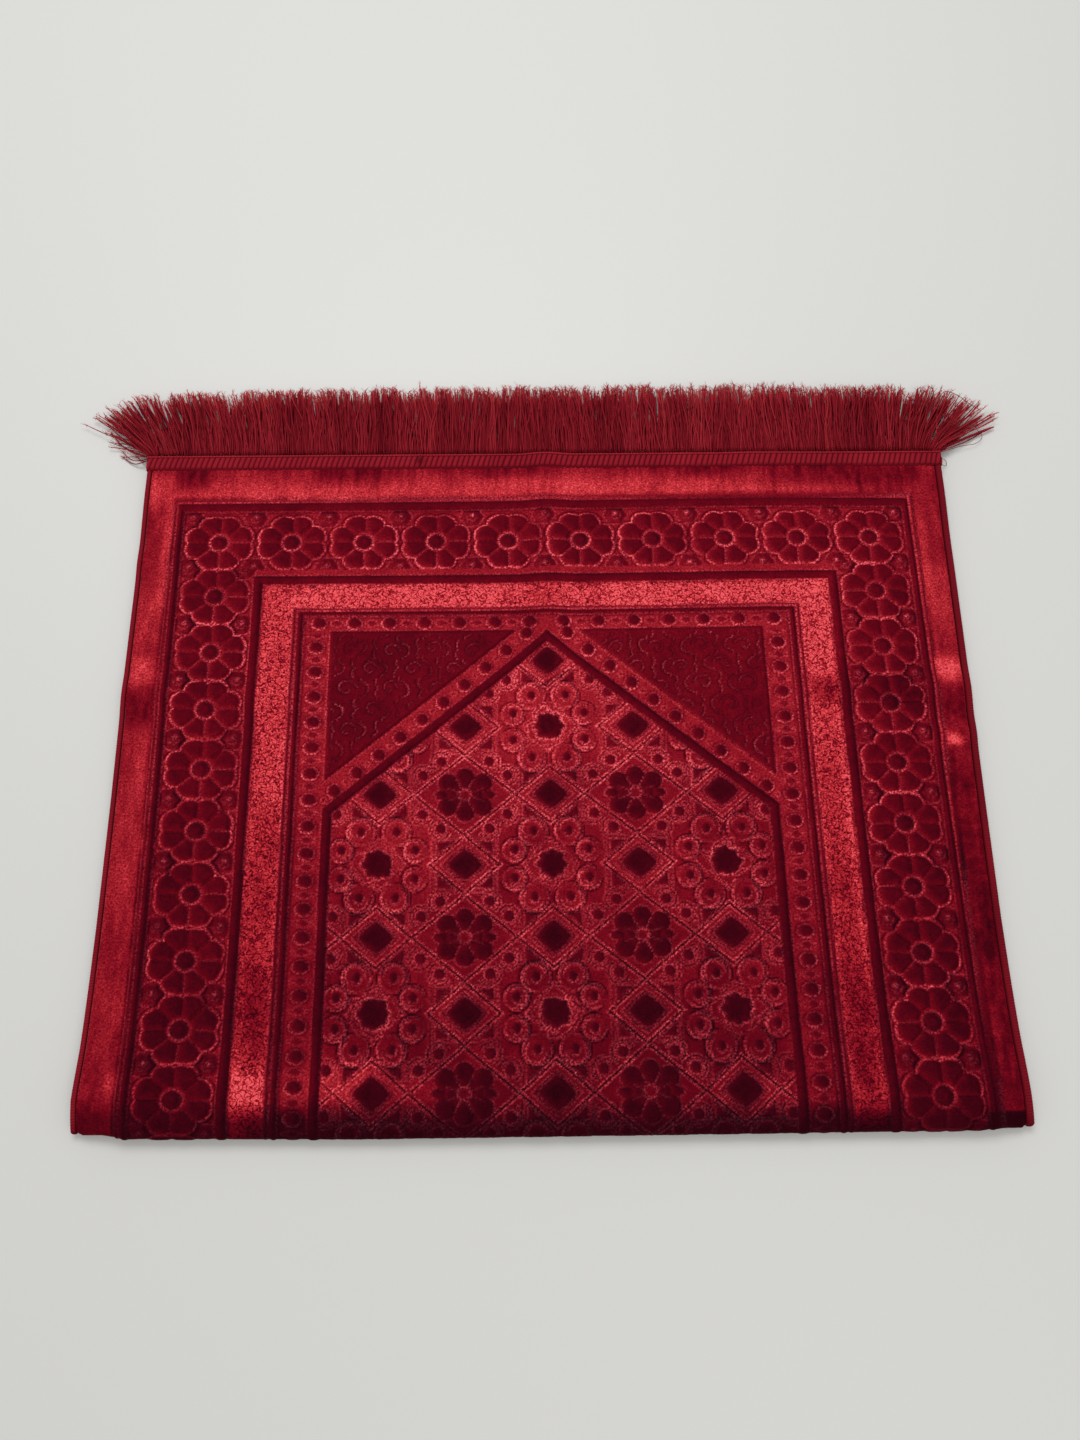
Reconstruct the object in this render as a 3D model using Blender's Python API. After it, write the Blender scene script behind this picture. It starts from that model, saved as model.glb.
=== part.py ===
"""Velvet prayer rug, folded once across its middle and laid flat, pile side out.

Metres, +Z up. The cloth is one folded sheet: an under layer with its pile on the floor, a soft nose at the
front (-Y), and an upper layer with its pile up. An overcast binding runs along each side and round the fold.
A fringe trim closes each end: an oversewn heading on the pile side of the cloth's end, and a comb of yarn
tufts that lies out behind it (+Y).
The frame's origin is the middle of the finished outline, on the floor.
"""

import math
import random

import bmesh
import bpy
from mathutils import Vector

# ---------------------------------------------------------------- sizes
WIDTH = 0.702  # over the two side bindings
BINDING_WIDE = (0.0042, 0.0060)  # left, right
REACH = 0.5622  # from the middle of the fold's nose to the cloth's end, in plan
PILE = 0.0055  # cloth thickness where the pile is high
PLAIN = 0.0032  # cloth thickness at the plain margins
NOSE = 0.0014  # radius of the back face round the nose
LAY_GAP = 0.0011  # opening between the two layers' backs where they lie closed
CLEAR = 0.0003  # between one piece and the next
CLOTH_LEFT = WIDTH / 2 - BINDING_WIDE[0] - CLEAR
CLOTH_RIGHT = WIDTH / 2 - BINDING_WIDE[1] - CLEAR

BORDER_X = 0.3215  # half-width of the carved area
BORDER_END = 0.5155  # where the carved area stops, before the heading
STEP = 0.0030  # width of the slope from plain margin up to pile

HEADING_WIDE = 0.0135
HEADING_THICK = 0.0020
FRINGE_LONG = 0.0700
UNDER_SKEW = 0.0015  # the under layer sits this much to the right at its far end
FOLD_SKEW = 0.0024  # the fold runs this much further back at its right end, and forward at its left

# How far the two backs stand apart behind the nose: (distance behind the nose's centre, opening)
OPENING = (
    (-0.0003, 0.00277),
    (0.0060, 0.0040),
    (0.0140, 0.0048),
    (0.0240, 0.0050),
    (0.0400, 0.0042),
    (0.0620, 0.0026),
    (0.0850, 0.0016),
    (0.1150, LAY_GAP),
)
NOSE_TURN = math.radians(168)  # the nose's arc, before the upper layer's slope takes over

# Soft ridges on the upper layer: (x from, y from, x to, y to, half-width, height)
RIDGES = (
    (0.004, 0.250, 0.000, 0.640, 0.027, 0.0030),  # lengthwise crease
    (-0.380, 0.338, -0.200, 0.334, 0.024, 0.0022),  # crosswise crease, left
    (0.190, 0.336, 0.380, 0.340, 0.022, 0.0024),  # crosswise crease, right
    (0.230, 0.297, 0.380, 0.302, 0.016, 0.0013),  # a second one below it
    (-0.380, 0.452, -0.300, 0.470, 0.022, 0.0012),
    (0.150, 0.560, 0.300, 0.530, 0.026, 0.0012),
)

# How far the sides stand out of a straight line: (y, left side, right side)
SIDES = (
    (-0.010, 0.0000, 0.0040),
    (0.020, 0.0020, 0.0036),
    (0.060, 0.0006, 0.0022),
    (0.150, -0.0004, 0.0004),
    (0.250, -0.0002, 0.0004),
    (0.350, 0.0010, 0.0010),
    (0.450, 0.0006, 0.0010),
    (0.570, 0.0004, 0.0002),
)


# ---------------------------------------------------------------- small functions
def smooth(t):
    t = min(1.0, max(0.0, t))
    return t * t * (3 - 2 * t)


def read_table(rows, at, column):
    """The column's value at that place, on straight lines between the rows."""
    if at <= rows[0][0]:
        return rows[0][column]
    for low, high in zip(rows, rows[1:]):
        if at <= high[0]:
            t = (at - low[0]) / (high[0] - low[0])
            return low[column] + t * (high[column] - low[column])
    return rows[-1][column]


def opening(behind):
    """The opening at that distance behind the nose, on a smooth curve through the table's rows."""
    rows = OPENING
    if behind >= rows[-1][0]:
        return rows[-1][1]
    slopes = [-math.tan(NOSE_TURN)]
    for k in range(1, len(rows) - 1):
        slopes.append((rows[k + 1][1] - rows[k - 1][1]) / (rows[k + 1][0] - rows[k - 1][0]))
    slopes.append(0.0)
    for k in range(len(rows) - 1):
        (x0, y0), (x1, y1) = rows[k], rows[k + 1]
        if behind <= x1:
            w = x1 - x0
            t = max(0.0, (behind - x0) / w)
            return (
                (2 * t**3 - 3 * t**2 + 1) * y0
                + (t**3 - 2 * t**2 + t) * w * slopes[k]
                + (3 * t**2 - 2 * t**3) * y1
                + (t**3 - t**2) * w * slopes[k + 1]
            )
    return rows[-1][1]


def back_line():
    """The cloth's back face in section, from the under layer's end round the nose to the upper layer's end,
    as (distance along it from the nose's tip, y, z)."""
    points = [(REACH, PILE)]
    points += [(REACH * k / 400, PILE) for k in range(399, 0, -1) if REACH * k / 400 > 0.0002]
    turns = 24
    for k in range(turns + 1):
        angle = NOSE_TURN * k / turns
        points.append((-NOSE * math.sin(angle), PILE + NOSE - NOSE * math.cos(angle)))
    tip = len(points) - 1 - turns + round(turns * math.pi / 2 / NOSE_TURN)
    start = points[-1][0]
    for k in range(1, 601):
        y = start + (REACH - start) * (k / 600) ** 1.5
        points.append((y, PILE + opening(y)))
    lengths = [0.0]
    for (y0, z0), (y1, z1) in zip(points, points[1:]):
        lengths.append(lengths[-1] + math.hypot(y1 - y0, z1 - z0))
    return [(length - lengths[tip], y, z) for length, (y, z) in zip(lengths, points)]


BACK = back_line()
END = BACK[-1][0]  # along the cloth, from the nose's tip to the upper end
UNDER_END = BACK[0][0]  # the same to the under layer's end, negative


def back_at(along):
    """(y, z) on the back face, and the direction out of it, towards the pile."""
    low, high = 0, len(BACK) - 1
    while high - low > 1:
        middle = (low + high) // 2
        if BACK[middle][0] <= along:
            low = middle
        else:
            high = middle
    (a0, y0, z0), (a1, y1, z1) = BACK[low], BACK[high]
    t = (along - a0) / (a1 - a0)

    def way(k):
        k = min(max(k, 1), len(BACK) - 2)
        dy, dz = BACK[k + 1][1] - BACK[k - 1][1], BACK[k + 1][2] - BACK[k - 1][2]
        return Vector((dy, dz)).normalized()

    run = (way(low) * (1 - t) + way(high) * t).normalized()
    return y0 + t * (y1 - y0), z0 + t * (z1 - z0), Vector((0, -run.y, run.x))


def droop(x, y):
    """The plain side margins are thinner than the pile, so there the cloth sinks to rest on what is below."""
    side = smooth((abs(x) - BORDER_X) / (WIDTH / 2 - 0.004 - BORDER_X))
    return (PILE - PLAIN) * side * (1 - smooth((y - 0.47) / 0.06))


def ridge(x, y):
    rise = 0.0
    for x0, y0, x1, y1, half, high in RIDGES:
        run = Vector((x1 - x0, y1 - y0))
        t = (Vector((x - x0, y - y0))).dot(run) / run.length_squared
        off = abs((Vector((x - x0, y - y0))).cross(run)) / run.length
        ends = smooth(t / 0.25) * smooth((1 - t) / 0.25)
        rise += high * ends * (0.5 + 0.5 * math.cos(math.pi * min(1.0, off / half)))
    return rise


def thickness(x, along):
    """The cloth's thickness: plain margins all round, and the carved pile inside them."""
    sides = smooth((BORDER_X - abs(x)) / STEP)
    ends = smooth((BORDER_END - abs(along)) / STEP)
    return PLAIN + (PILE - PLAIN) * sides * ends


def place(x, along, height):
    """A point of the folded cloth: x across it, along it from the nose's tip, height above its back face."""
    y, z, out = back_at(along)
    share = (abs(x) / (WIDTH / 2)) ** 4
    side = read_table(SIDES, y, 1 if x < 0 else 2) * share
    x_at = x + math.copysign(side, x)
    skew = FOLD_SKEW * x / (WIDTH / 2) * (1 - smooth(y / 0.30))
    if along < 0:
        x_at += UNDER_SKEW * smooth(y / REACH)
    else:
        z += ridge(x, y) * smooth((y - 0.06) / 0.05)
    z -= droop(x, y)
    return Vector((x_at, y + skew, z)) + out * height


# ---------------------------------------------------------------- modelling
def blank(name, columns, rows, drop=None):
    """A slab of columns by rows cells, extruded from a grid. drop(i, j) leaves a cell out.
    Each vertex's place in it is kept as (i, j, side), with side 0 below and 1 above."""
    mesh = bpy.data.meshes.new(name)
    bm = bmesh.new()
    bmesh.ops.create_grid(bm, x_segments=columns, y_segments=rows, size=0.5)
    for v in bm.verts:
        v.co = Vector(((v.co.x + 0.5) * columns, (v.co.y + 0.5) * rows, 0))
    if drop:
        gone = [
            f for f in bm.faces if drop(int(f.calc_center_median().x), int(f.calc_center_median().y))
        ]
        bmesh.ops.delete(bm, geom=gone, context="FACES")
    made = bmesh.ops.extrude_face_region(bm, geom=bm.faces[:], use_keep_orig=True)
    for v in made["geom"]:
        if isinstance(v, bmesh.types.BMVert):
            v.co.z = 1
    return mesh, bm


def finish(name, mesh, bm, where, colour, roughness, smooth_angle=40):
    """Moves each vertex to where(i, j, side), and makes the object."""
    for v in bm.verts:
        v.co = where(round(v.co.x), round(v.co.y), round(v.co.z))
    bmesh.ops.recalc_face_normals(bm, faces=bm.faces)
    bm.to_mesh(mesh)
    bm.free()
    obj = bpy.data.objects.new(name, mesh)
    PARTS.objects.link(obj)
    mesh.shade_smooth()
    mesh.set_sharp_from_angle(angle=math.radians(smooth_angle))
    material = bpy.data.materials.new(name)
    material.use_nodes = True
    shader = material.node_tree.nodes["Principled BSDF"]
    shader.inputs["Base Color"].default_value = (*colour, 1)
    shader.inputs["Roughness"].default_value = roughness
    shader.inputs["Metallic"].default_value = 0.0
    mesh.materials.append(material)
    return obj


def stations():
    """Across the cloth: close together at the margins' steps and over the lengthwise crease."""
    half = [0.013, 0.027, 0.060, 0.110, 0.165, 0.220, 0.270, BORDER_X - STEP, BORDER_X, 0.333]
    return [-CLOTH_LEFT] + [-x for x in reversed(half)] + [0.0] + half + [CLOTH_RIGHT]


def runs():
    """Along the cloth: from the under layer's end round the nose to the upper layer's end."""
    under = [UNDER_END, UNDER_END + HEADING_WIDE, -BORDER_END, -BORDER_END + STEP, -0.470, -0.35, -0.20, -0.10, -0.05, -0.02, -0.006]
    nose = [-0.0026, -0.0011, 0.0, 0.0011, 0.0022, 0.0034]
    upper = [0.007, 0.013, 0.021, 0.032, 0.046, 0.064, 0.088, 0.12, 0.17, 0.23, 0.275, 0.300, 0.318, 0.336]
    upper += [0.354, 0.385, 0.420, 0.450, 0.480, BORDER_END - STEP, BORDER_END, 0.532, END - HEADING_WIDE, END]
    return under + nose + upper


def make_cloth():
    across, lengthwise = stations(), runs()
    mesh, bm = blank("rug_cloth", len(across) - 1, len(lengthwise) - 1)

    def where(i, j, side):
        x, along = across[i], lengthwise[j]
        return place(x, along, thickness(x, along) if side else 0.0)

    return finish("rug_cloth", mesh, bm, where, (0.35, 0.008, 0.022), 0.85)


def make_binding(name, side_sign, wide):
    """The overcast yarn over one side edge, a flattened bead that goes round the fold with the cloth."""
    lengthwise = runs()
    middle = side_sign * (WIDTH / 2 - wide / 2)
    mesh, bm = blank(name, 4, len(lengthwise) - 1)

    def where(i, j, side):
        u = (i - 2) / 2  # -1 to 1 over its width
        bulge = 0.30 + 0.70 * math.sqrt(1 - 0.92 * u * u)
        half_thick = PLAIN / 2 * bulge
        height = PLAIN / 2 + (half_thick if side else -half_thick)
        return place(middle + u * wide / 2, lengthwise[j], height)

    return finish(name, mesh, bm, where, (0.33, 0.012, 0.028), 0.7)


def make_heading(name, upper):
    """The oversewn band on the pile side of the cloth's end."""
    across = stations()
    across[0] = -WIDTH / 2 - 0.0012
    across[-1] = WIDTH / 2 + 0.0012
    mesh, bm = blank(name, len(across) - 1, 3)
    inner = REACH - HEADING_WIDE

    def where(i, j, side):
        y = inner + HEADING_WIDE * j / 3
        along = (END - (REACH - y)) if upper else (UNDER_END + (REACH - y))
        crown = HEADING_THICK * (1.0 if 0 < j < 3 else 0.75)
        if upper:
            p = place(across[i], along, PLAIN + CLEAR + (crown if side else 0))
        else:
            p = place(across[i], along, PLAIN + CLEAR)
            p.z = 0.0 if side else p.z
        return p

    return finish(name, mesh, bm, where, (0.30, 0.010, 0.022), 0.8)


def make_fringe(name, upper, tufts, seed):
    """One comb: a spine behind the cloth's end, and a tooth for each tuft of yarns, fanned out at the corners."""
    pick = random.Random(seed)
    rows = 5
    cells = 3  # two for the tuft, one for the parting after it
    lengths = [FRINGE_LONG * pick.uniform(0.93, 1.0) for _ in range(tufts)]
    leans = [pick.uniform(-0.003, 0.003) for _ in range(tufts)]
    notches = [pick.choice((2, 3, 4, 4)) for _ in range(tufts)]
    columns = tufts * cells - 1

    def drop(i, j):
        return i % cells == 2 and j >= notches[i // cells]

    mesh, bm = blank(name, columns, rows, drop)
    pitch = (WIDTH - 0.004) / tufts

    def where(i, j, side):
        tuft, part = min(i // cells, tufts - 1), i % cells
        t = j / rows
        middle = -WIDTH / 2 + 0.002 + pitch * (tuft + 0.5)
        narrow = pitch * (0.485 - 0.16 * max(0.0, t - 0.4))
        x = middle + (part - 1) * narrow
        edge = x / (WIDTH / 2)
        fan = math.copysign(smooth((abs(edge) - 0.82) / 0.17) ** 1.3, edge)
        reach = lengths[tuft] * (1 - 0.16 * abs(fan))
        x += (leans[tuft] * (1 - abs(fan)) + fan * 0.044) * t**1.35
        y = REACH + CLEAR + reach * t
        if upper:
            low = 0.0066 * (1 - smooth(t * 1.25)) + 0.0028
            thick = 0.0042 - 0.0016 * t
            z = low + (thick if side else 0.0)
        else:
            z = (0.0036 - 0.0012 * smooth(t * 2)) if side else 0.0
        return Vector((x, y, z))

    return finish(name, mesh, bm, where, (0.28, 0.008, 0.020), 0.75)


for old in list(bpy.data.objects):
    bpy.data.objects.remove(old, do_unlink=True)
PARTS = bpy.data.collections.new("prayer_rug")
bpy.context.scene.collection.children.link(PARTS)

made = [
    make_cloth(),
    make_binding("binding_left", -1, BINDING_WIDE[0]),
    make_binding("binding_right", 1, BINDING_WIDE[1]),
    make_heading("fringe_heading_upper", True),
    make_heading("fringe_heading_under", False),
    make_fringe("fringe_upper", True, 40, 11),
    make_fringe("fringe_under", False, 24, 29),
]

# The frame's origin: the middle of the outline, seen from above.
corners = [v.co for obj in made for v in obj.data.vertices]
middle = Vector(
    (
        (min(c.x for c in corners) + max(c.x for c in corners)) / 2,
        (min(c.y for c in corners) + max(c.y for c in corners)) / 2,
        0,
    )
)
for obj in made:
    obj.location = -middle
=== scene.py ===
import math

import bpy
import numpy as np
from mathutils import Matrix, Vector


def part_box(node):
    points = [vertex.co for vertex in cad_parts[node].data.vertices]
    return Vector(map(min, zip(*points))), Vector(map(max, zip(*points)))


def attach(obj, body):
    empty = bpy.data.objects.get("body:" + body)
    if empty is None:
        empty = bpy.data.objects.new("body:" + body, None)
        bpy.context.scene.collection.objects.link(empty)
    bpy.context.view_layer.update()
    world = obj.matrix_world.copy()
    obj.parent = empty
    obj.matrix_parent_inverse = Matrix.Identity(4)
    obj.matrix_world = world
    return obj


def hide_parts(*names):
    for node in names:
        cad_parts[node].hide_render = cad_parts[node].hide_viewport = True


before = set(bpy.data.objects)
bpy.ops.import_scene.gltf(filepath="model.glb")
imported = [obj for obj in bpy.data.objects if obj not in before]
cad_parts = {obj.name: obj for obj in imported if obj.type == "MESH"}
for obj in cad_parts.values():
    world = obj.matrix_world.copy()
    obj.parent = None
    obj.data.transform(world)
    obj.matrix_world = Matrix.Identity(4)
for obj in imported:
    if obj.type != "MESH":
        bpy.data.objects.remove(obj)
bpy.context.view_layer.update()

scene = bpy.context.scene
scene.view_settings.view_transform = "Standard"
scene.view_settings.look = "None"

# ====================================================================== the cloth's own sizes, metres
# The same fold as the rug_cloth solid: an under layer, a nose at the front, an upper layer.
WIDTH = 0.702
BINDING_WIDE = (0.0042, 0.0060)
CLEAR = 0.0003
CLOTH_LEFT = WIDTH / 2 - BINDING_WIDE[0] - CLEAR
CLOTH_RIGHT = WIDTH / 2 - BINDING_WIDE[1] - CLEAR
REACH = 0.5622
PILE = 0.0055
PLAIN = 0.0032
NOSE = 0.0014
LAY_GAP = 0.0011
BORDER_X = 0.3215
HEADING_WIDE = 0.0135
HEADING_THICK = 0.0020
FRINGE_LONG = 0.0700
UNDER_SKEW = 0.0015
FOLD_SKEW = 0.0024
NOSE_TURN = math.radians(168)
# (distance behind the nose's centre, opening between the two backs)
OPENING = (
    (-0.0003, 0.00277),
    (0.0060, 0.0040),
    (0.0140, 0.0048),
    (0.0240, 0.0050),
    (0.0400, 0.0042),
    (0.0620, 0.0026),
    (0.0850, 0.0016),
    (0.1150, LAY_GAP),
)
# (x from, y from, x to, y to, half-width, height)
RIDGES = (
    (0.004, 0.250, 0.000, 0.640, 0.027, 0.0030),
    (-0.380, 0.338, -0.200, 0.334, 0.024, 0.0022),
    (0.190, 0.336, 0.380, 0.340, 0.022, 0.0024),
    (0.230, 0.297, 0.380, 0.302, 0.016, 0.0013),
    (-0.380, 0.452, -0.300, 0.470, 0.022, 0.0012),
    (0.150, 0.560, 0.300, 0.530, 0.026, 0.0012),
)
# (y, left side, right side): how far the sides stand out of a straight line
SIDES = (
    (-0.010, 0.0000, 0.0040),
    (0.020, 0.0020, 0.0036),
    (0.060, 0.0006, 0.0022),
    (0.150, -0.0004, 0.0004),
    (0.250, -0.0002, 0.0004),
    (0.350, 0.0010, 0.0010),
    (0.450, 0.0006, 0.0010),
    (0.570, 0.0004, 0.0002),
)

# Where the cloth's own coordinates sit in the row frame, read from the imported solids.
_, cloth_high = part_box("rug_cloth")
head_low, head_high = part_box("fringe_heading_upper")
OFF = np.array([(head_low.x + head_high.x) / 2 + 0.00005, cloth_high.y - REACH, 0.0])


# ====================================================================== small numeric helpers
def step(low, high, x):
    t = np.clip((x - low) / (high - low), 0.0, 1.0)
    return t * t * (3 - 2 * t)


def lattice_noise(x, y, seed):
    """Smooth noise from 0 to 1, one cell to a unit."""
    x0, y0 = np.floor(x).astype(np.int64), np.floor(y).astype(np.int64)
    fx, fy = x - x0, y - y0
    fx, fy = fx * fx * (3 - 2 * fx), fy * fy * (3 - 2 * fy)

    def at(i, j):
        n = (i * 374761393 + j * 668265263 + seed * 362437) & 0xFFFFFFFF
        n = ((n ^ (n >> 13)) * 1274126177) & 0xFFFFFFFF
        n = n ^ (n >> 16)
        return (n & 0xFFFF) / 65535.0

    return (
        at(x0, y0) * (1 - fx) * (1 - fy)
        + at(x0 + 1, y0) * fx * (1 - fy)
        + at(x0, y0 + 1) * (1 - fx) * fy
        + at(x0 + 1, y0 + 1) * fx * fy
    )


def fbm(x, y, seed, rounds=3):
    total, weight = 0.0, 0.0
    for k in range(rounds):
        total = total + lattice_noise(x * 2**k, y * 2**k, seed + 17 * k) / 2**k
        weight += 1 / 2**k
    return total / weight


# ====================================================================== the fold
def opening(behind):
    rows = OPENING
    slopes = [-math.tan(NOSE_TURN)]
    for k in range(1, len(rows) - 1):
        slopes.append((rows[k + 1][1] - rows[k - 1][1]) / (rows[k + 1][0] - rows[k - 1][0]))
    slopes.append(0.0)
    if behind >= rows[-1][0]:
        return rows[-1][1]
    for k in range(len(rows) - 1):
        (x0, y0), (x1, y1) = rows[k], rows[k + 1]
        if behind <= x1:
            w = x1 - x0
            t = max(0.0, (behind - x0) / w)
            return (
                (2 * t**3 - 3 * t**2 + 1) * y0
                + (t**3 - 2 * t**2 + t) * w * slopes[k]
                + (3 * t**2 - 2 * t**3) * y1
                + (t**3 - t**2) * w * slopes[k + 1]
            )
    return rows[-1][1]


def back_line():
    points = [(REACH, PILE)]
    points += [(REACH * k / 400, PILE) for k in range(399, 0, -1) if REACH * k / 400 > 0.0002]
    turns = 24
    for k in range(turns + 1):
        angle = NOSE_TURN * k / turns
        points.append((-NOSE * math.sin(angle), PILE + NOSE - NOSE * math.cos(angle)))
    tip = len(points) - 1 - turns + round(turns * math.pi / 2 / NOSE_TURN)
    start = points[-1][0]
    for k in range(1, 601):
        y = start + (REACH - start) * (k / 600) ** 1.5
        points.append((y, PILE + opening(y)))
    p = np.array(points)
    along = np.concatenate([[0.0], np.cumsum(np.hypot(*np.diff(p, axis=0).T))])
    return along - along[tip], p[:, 0], p[:, 1]


B_ALONG, B_Y, B_Z = back_line()
_dy, _dz = np.empty_like(B_Y), np.empty_like(B_Z)
_dy[1:-1], _dz[1:-1] = B_Y[2:] - B_Y[:-2], B_Z[2:] - B_Z[:-2]
_dy[0], _dz[0], _dy[-1], _dz[-1] = _dy[1], _dz[1], _dy[-2], _dz[-2]
_l = np.hypot(_dy, _dz)
_dy, _dz = _dy / _l, _dz / _l
END, UNDER_END = B_ALONG[-1], B_ALONG[0]

# Distance along the pile side, 0 where the upper layer leaves the nose. The design is measured on it, in cm.
_oy, _oz = B_Y - _dz * PILE, B_Z + _dy * PILE
_s = np.concatenate([[0.0], np.cumsum(np.hypot(np.diff(_oy), np.diff(_oz)))])
_turned = (B_ALONG > 0) & (B_Y > 0)
_s -= np.interp(0.0, B_Y[_turned][:40], _s[_turned][:40])
V_OF = _s * 100
V_TOP, V_LOW = V_OF[-1], V_OF[0]


def along_of(v):
    return np.interp(v, V_OF, B_ALONG)


def ridge(x, y):
    rise = np.zeros_like(x)
    for x0, y0, x1, y1, half, high in RIDGES:
        rx, ry = x1 - x0, y1 - y0
        l2 = rx * rx + ry * ry
        t = ((x - x0) * rx + (y - y0) * ry) / l2
        off = np.abs((x - x0) * ry - (y - y0) * rx) / math.sqrt(l2)
        ends = step(0, 0.25, t) * step(0, 0.25, 1 - t)
        rise += high * ends * (0.5 + 0.5 * np.cos(math.pi * np.minimum(1.0, off / half)))
    return rise


SIDE = np.array(SIDES)


def place(x, along, height):
    """Row-frame points of the folded cloth: x across, along from the nose's tip, height above the back."""
    x, along, height = np.broadcast_arrays(
        np.asarray(x, float), np.asarray(along, float), np.asarray(height, float)
    )
    y, z = np.interp(along, B_ALONG, B_Y), np.interp(along, B_ALONG, B_Z)
    ty, tz = np.interp(along, B_ALONG, _dy), np.interp(along, B_ALONG, _dz)
    length = np.hypot(ty, tz)
    oy, oz = -tz / length, ty / length
    share = (np.abs(x) / (WIDTH / 2)) ** 4
    left, right = np.interp(y, SIDE[:, 0], SIDE[:, 1]), np.interp(y, SIDE[:, 0], SIDE[:, 2])
    xa = x + np.sign(x) * np.where(x < 0, left, right) * share
    skew = FOLD_SKEW * x / (WIDTH / 2) * (1 - step(0, 0.30, y))
    under = along < 0
    xa = xa + np.where(under, UNDER_SKEW * step(0, REACH, y), 0)
    # the thin margins turn back sooner than the carved part
    sooner = 0.0022 * step(0.12, 0.31, -x) + 0.0028 * step(0.308, 0.330, -x) + 0.0010 * step(0.308, 0.330, x)
    skew = skew + sooner * (1 - step(0.0, 0.07, y))
    z = z + np.where(under, 0, ridge(x, y) * step(0, 0.05, y - 0.06))
    sides = step(0, WIDTH / 2 - 0.004 - BORDER_X, np.abs(x) - BORDER_X)
    z = z - (PILE - PLAIN) * sides * (1 - step(0, 0.06, y - 0.47))
    return np.stack([xa, y + skew + oy * height, z + oz * height], axis=-1) + OFF


# ====================================================================== camera
camera_data = bpy.data.cameras.new("camera")
camera = bpy.data.objects.new("camera", camera_data)
scene.collection.objects.link(camera)
camera_data.sensor_width = 36.0
camera_data.lens = 27.05
camera_data.clip_start = 0.01
camera.location = (OFF[0] - 0.0055, OFF[1] + 0.0440, 0.8533)
camera.rotation_euler = (math.radians(17.71), math.radians(0.12), math.radians(-0.39))
scene.camera = camera


# ====================================================================== meshes from arrays
def link(mesh, name, material):
    obj = bpy.data.objects.new(name, mesh)
    scene.collection.objects.link(obj)
    mesh.materials.append(material)
    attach(obj, "root")
    return obj


def mesh_of(name, points, quads, attributes=(), smooth=True, normals=None):
    """quads is an (n, 4) or (n, 3) array. attributes are (name, type, values) on the points."""
    mesh = bpy.data.meshes.new(name)
    sides = quads.shape[1]
    mesh.vertices.add(len(points))
    mesh.vertices.foreach_set("co", points.astype(np.float32).ravel())
    mesh.loops.add(quads.size)
    mesh.loops.foreach_set("vertex_index", quads.astype(np.int32).ravel())
    mesh.polygons.add(len(quads))
    mesh.polygons.foreach_set("loop_start", np.arange(0, quads.size, sides, dtype=np.int32))
    mesh.update(calc_edges=True)
    if smooth:
        mesh.shade_smooth()
    for label, kind, values in attributes:
        layer = mesh.attributes.new(label, kind, "POINT")
        field = "color" if kind == "FLOAT_COLOR" else "vector"
        layer.data.foreach_set(field, values.astype(np.float32).ravel())
    if normals is not None:
        mesh.normals_split_custom_set_from_vertices(normals.astype(np.float32))
    mesh.validate()
    return mesh


def grid_quads(rows, columns, wrap=False):
    i = np.arange(rows - 1)[:, None] * columns
    if wrap:
        j = np.arange(columns)[None, :]
        k = (np.arange(columns) + 1)[None, :] % columns
    else:
        j = np.arange(columns - 1)[None, :]
        k = j + 1
    a, b, c, d = i + j, i + k, i + columns + k, i + columns + j
    return np.stack([a, b, c, d], axis=-1).reshape(-1, 4)


def spaced(*stops):
    """Ticks through (place, step to the next place) stops."""
    out = []
    for (a, size), (b, _) in zip(stops, stops[1:]):
        n = max(1, round((b - a) / size))
        out += [a + (b - a) * k / n for k in range(n)]
    return np.array(out + [stops[-1][0]])


# ====================================================================== the carved design, in cm
# u runs across from the centre line, v along the pile side from the nose. The design is symmetric about its own
# centre line and, but for the arch, about its middle row.
MIDDLE = -0.365
# the frame lines' rectangles: (half-width, height)
EDGE_PLAIN = (32.20, 51.90)
THIN_IN = (31.90, 51.60)
WIDE_OUT = (31.82, 51.50)
WIDE_IN = (31.20, 50.62)
SECOND_OUT = (24.92, 44.52)
SECOND_IN = (24.02, 43.62)
CURL_IN = (21.42, 41.50)
FINE_IN = (21.08, 41.24)
THIRD_OUT = (20.98, 41.16)
THIRD_IN = (20.42, 40.72)
SPANDREL = (18.20, 39.42)
ARCH_X, ARCH_TOP, ARCH_SLOPE = 17.78, 38.72, 0.833
ARCH_HALF = 0.44
DAISY_X, DAISY_TOP, DAISY_PITCH_U, DAISY_PITCH_V = 28.05, 47.62, 6.23, 5.07
LATTICE_U, LATTICE_V, LATTICE_START = 6.80, 5.65, 2.60

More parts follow.
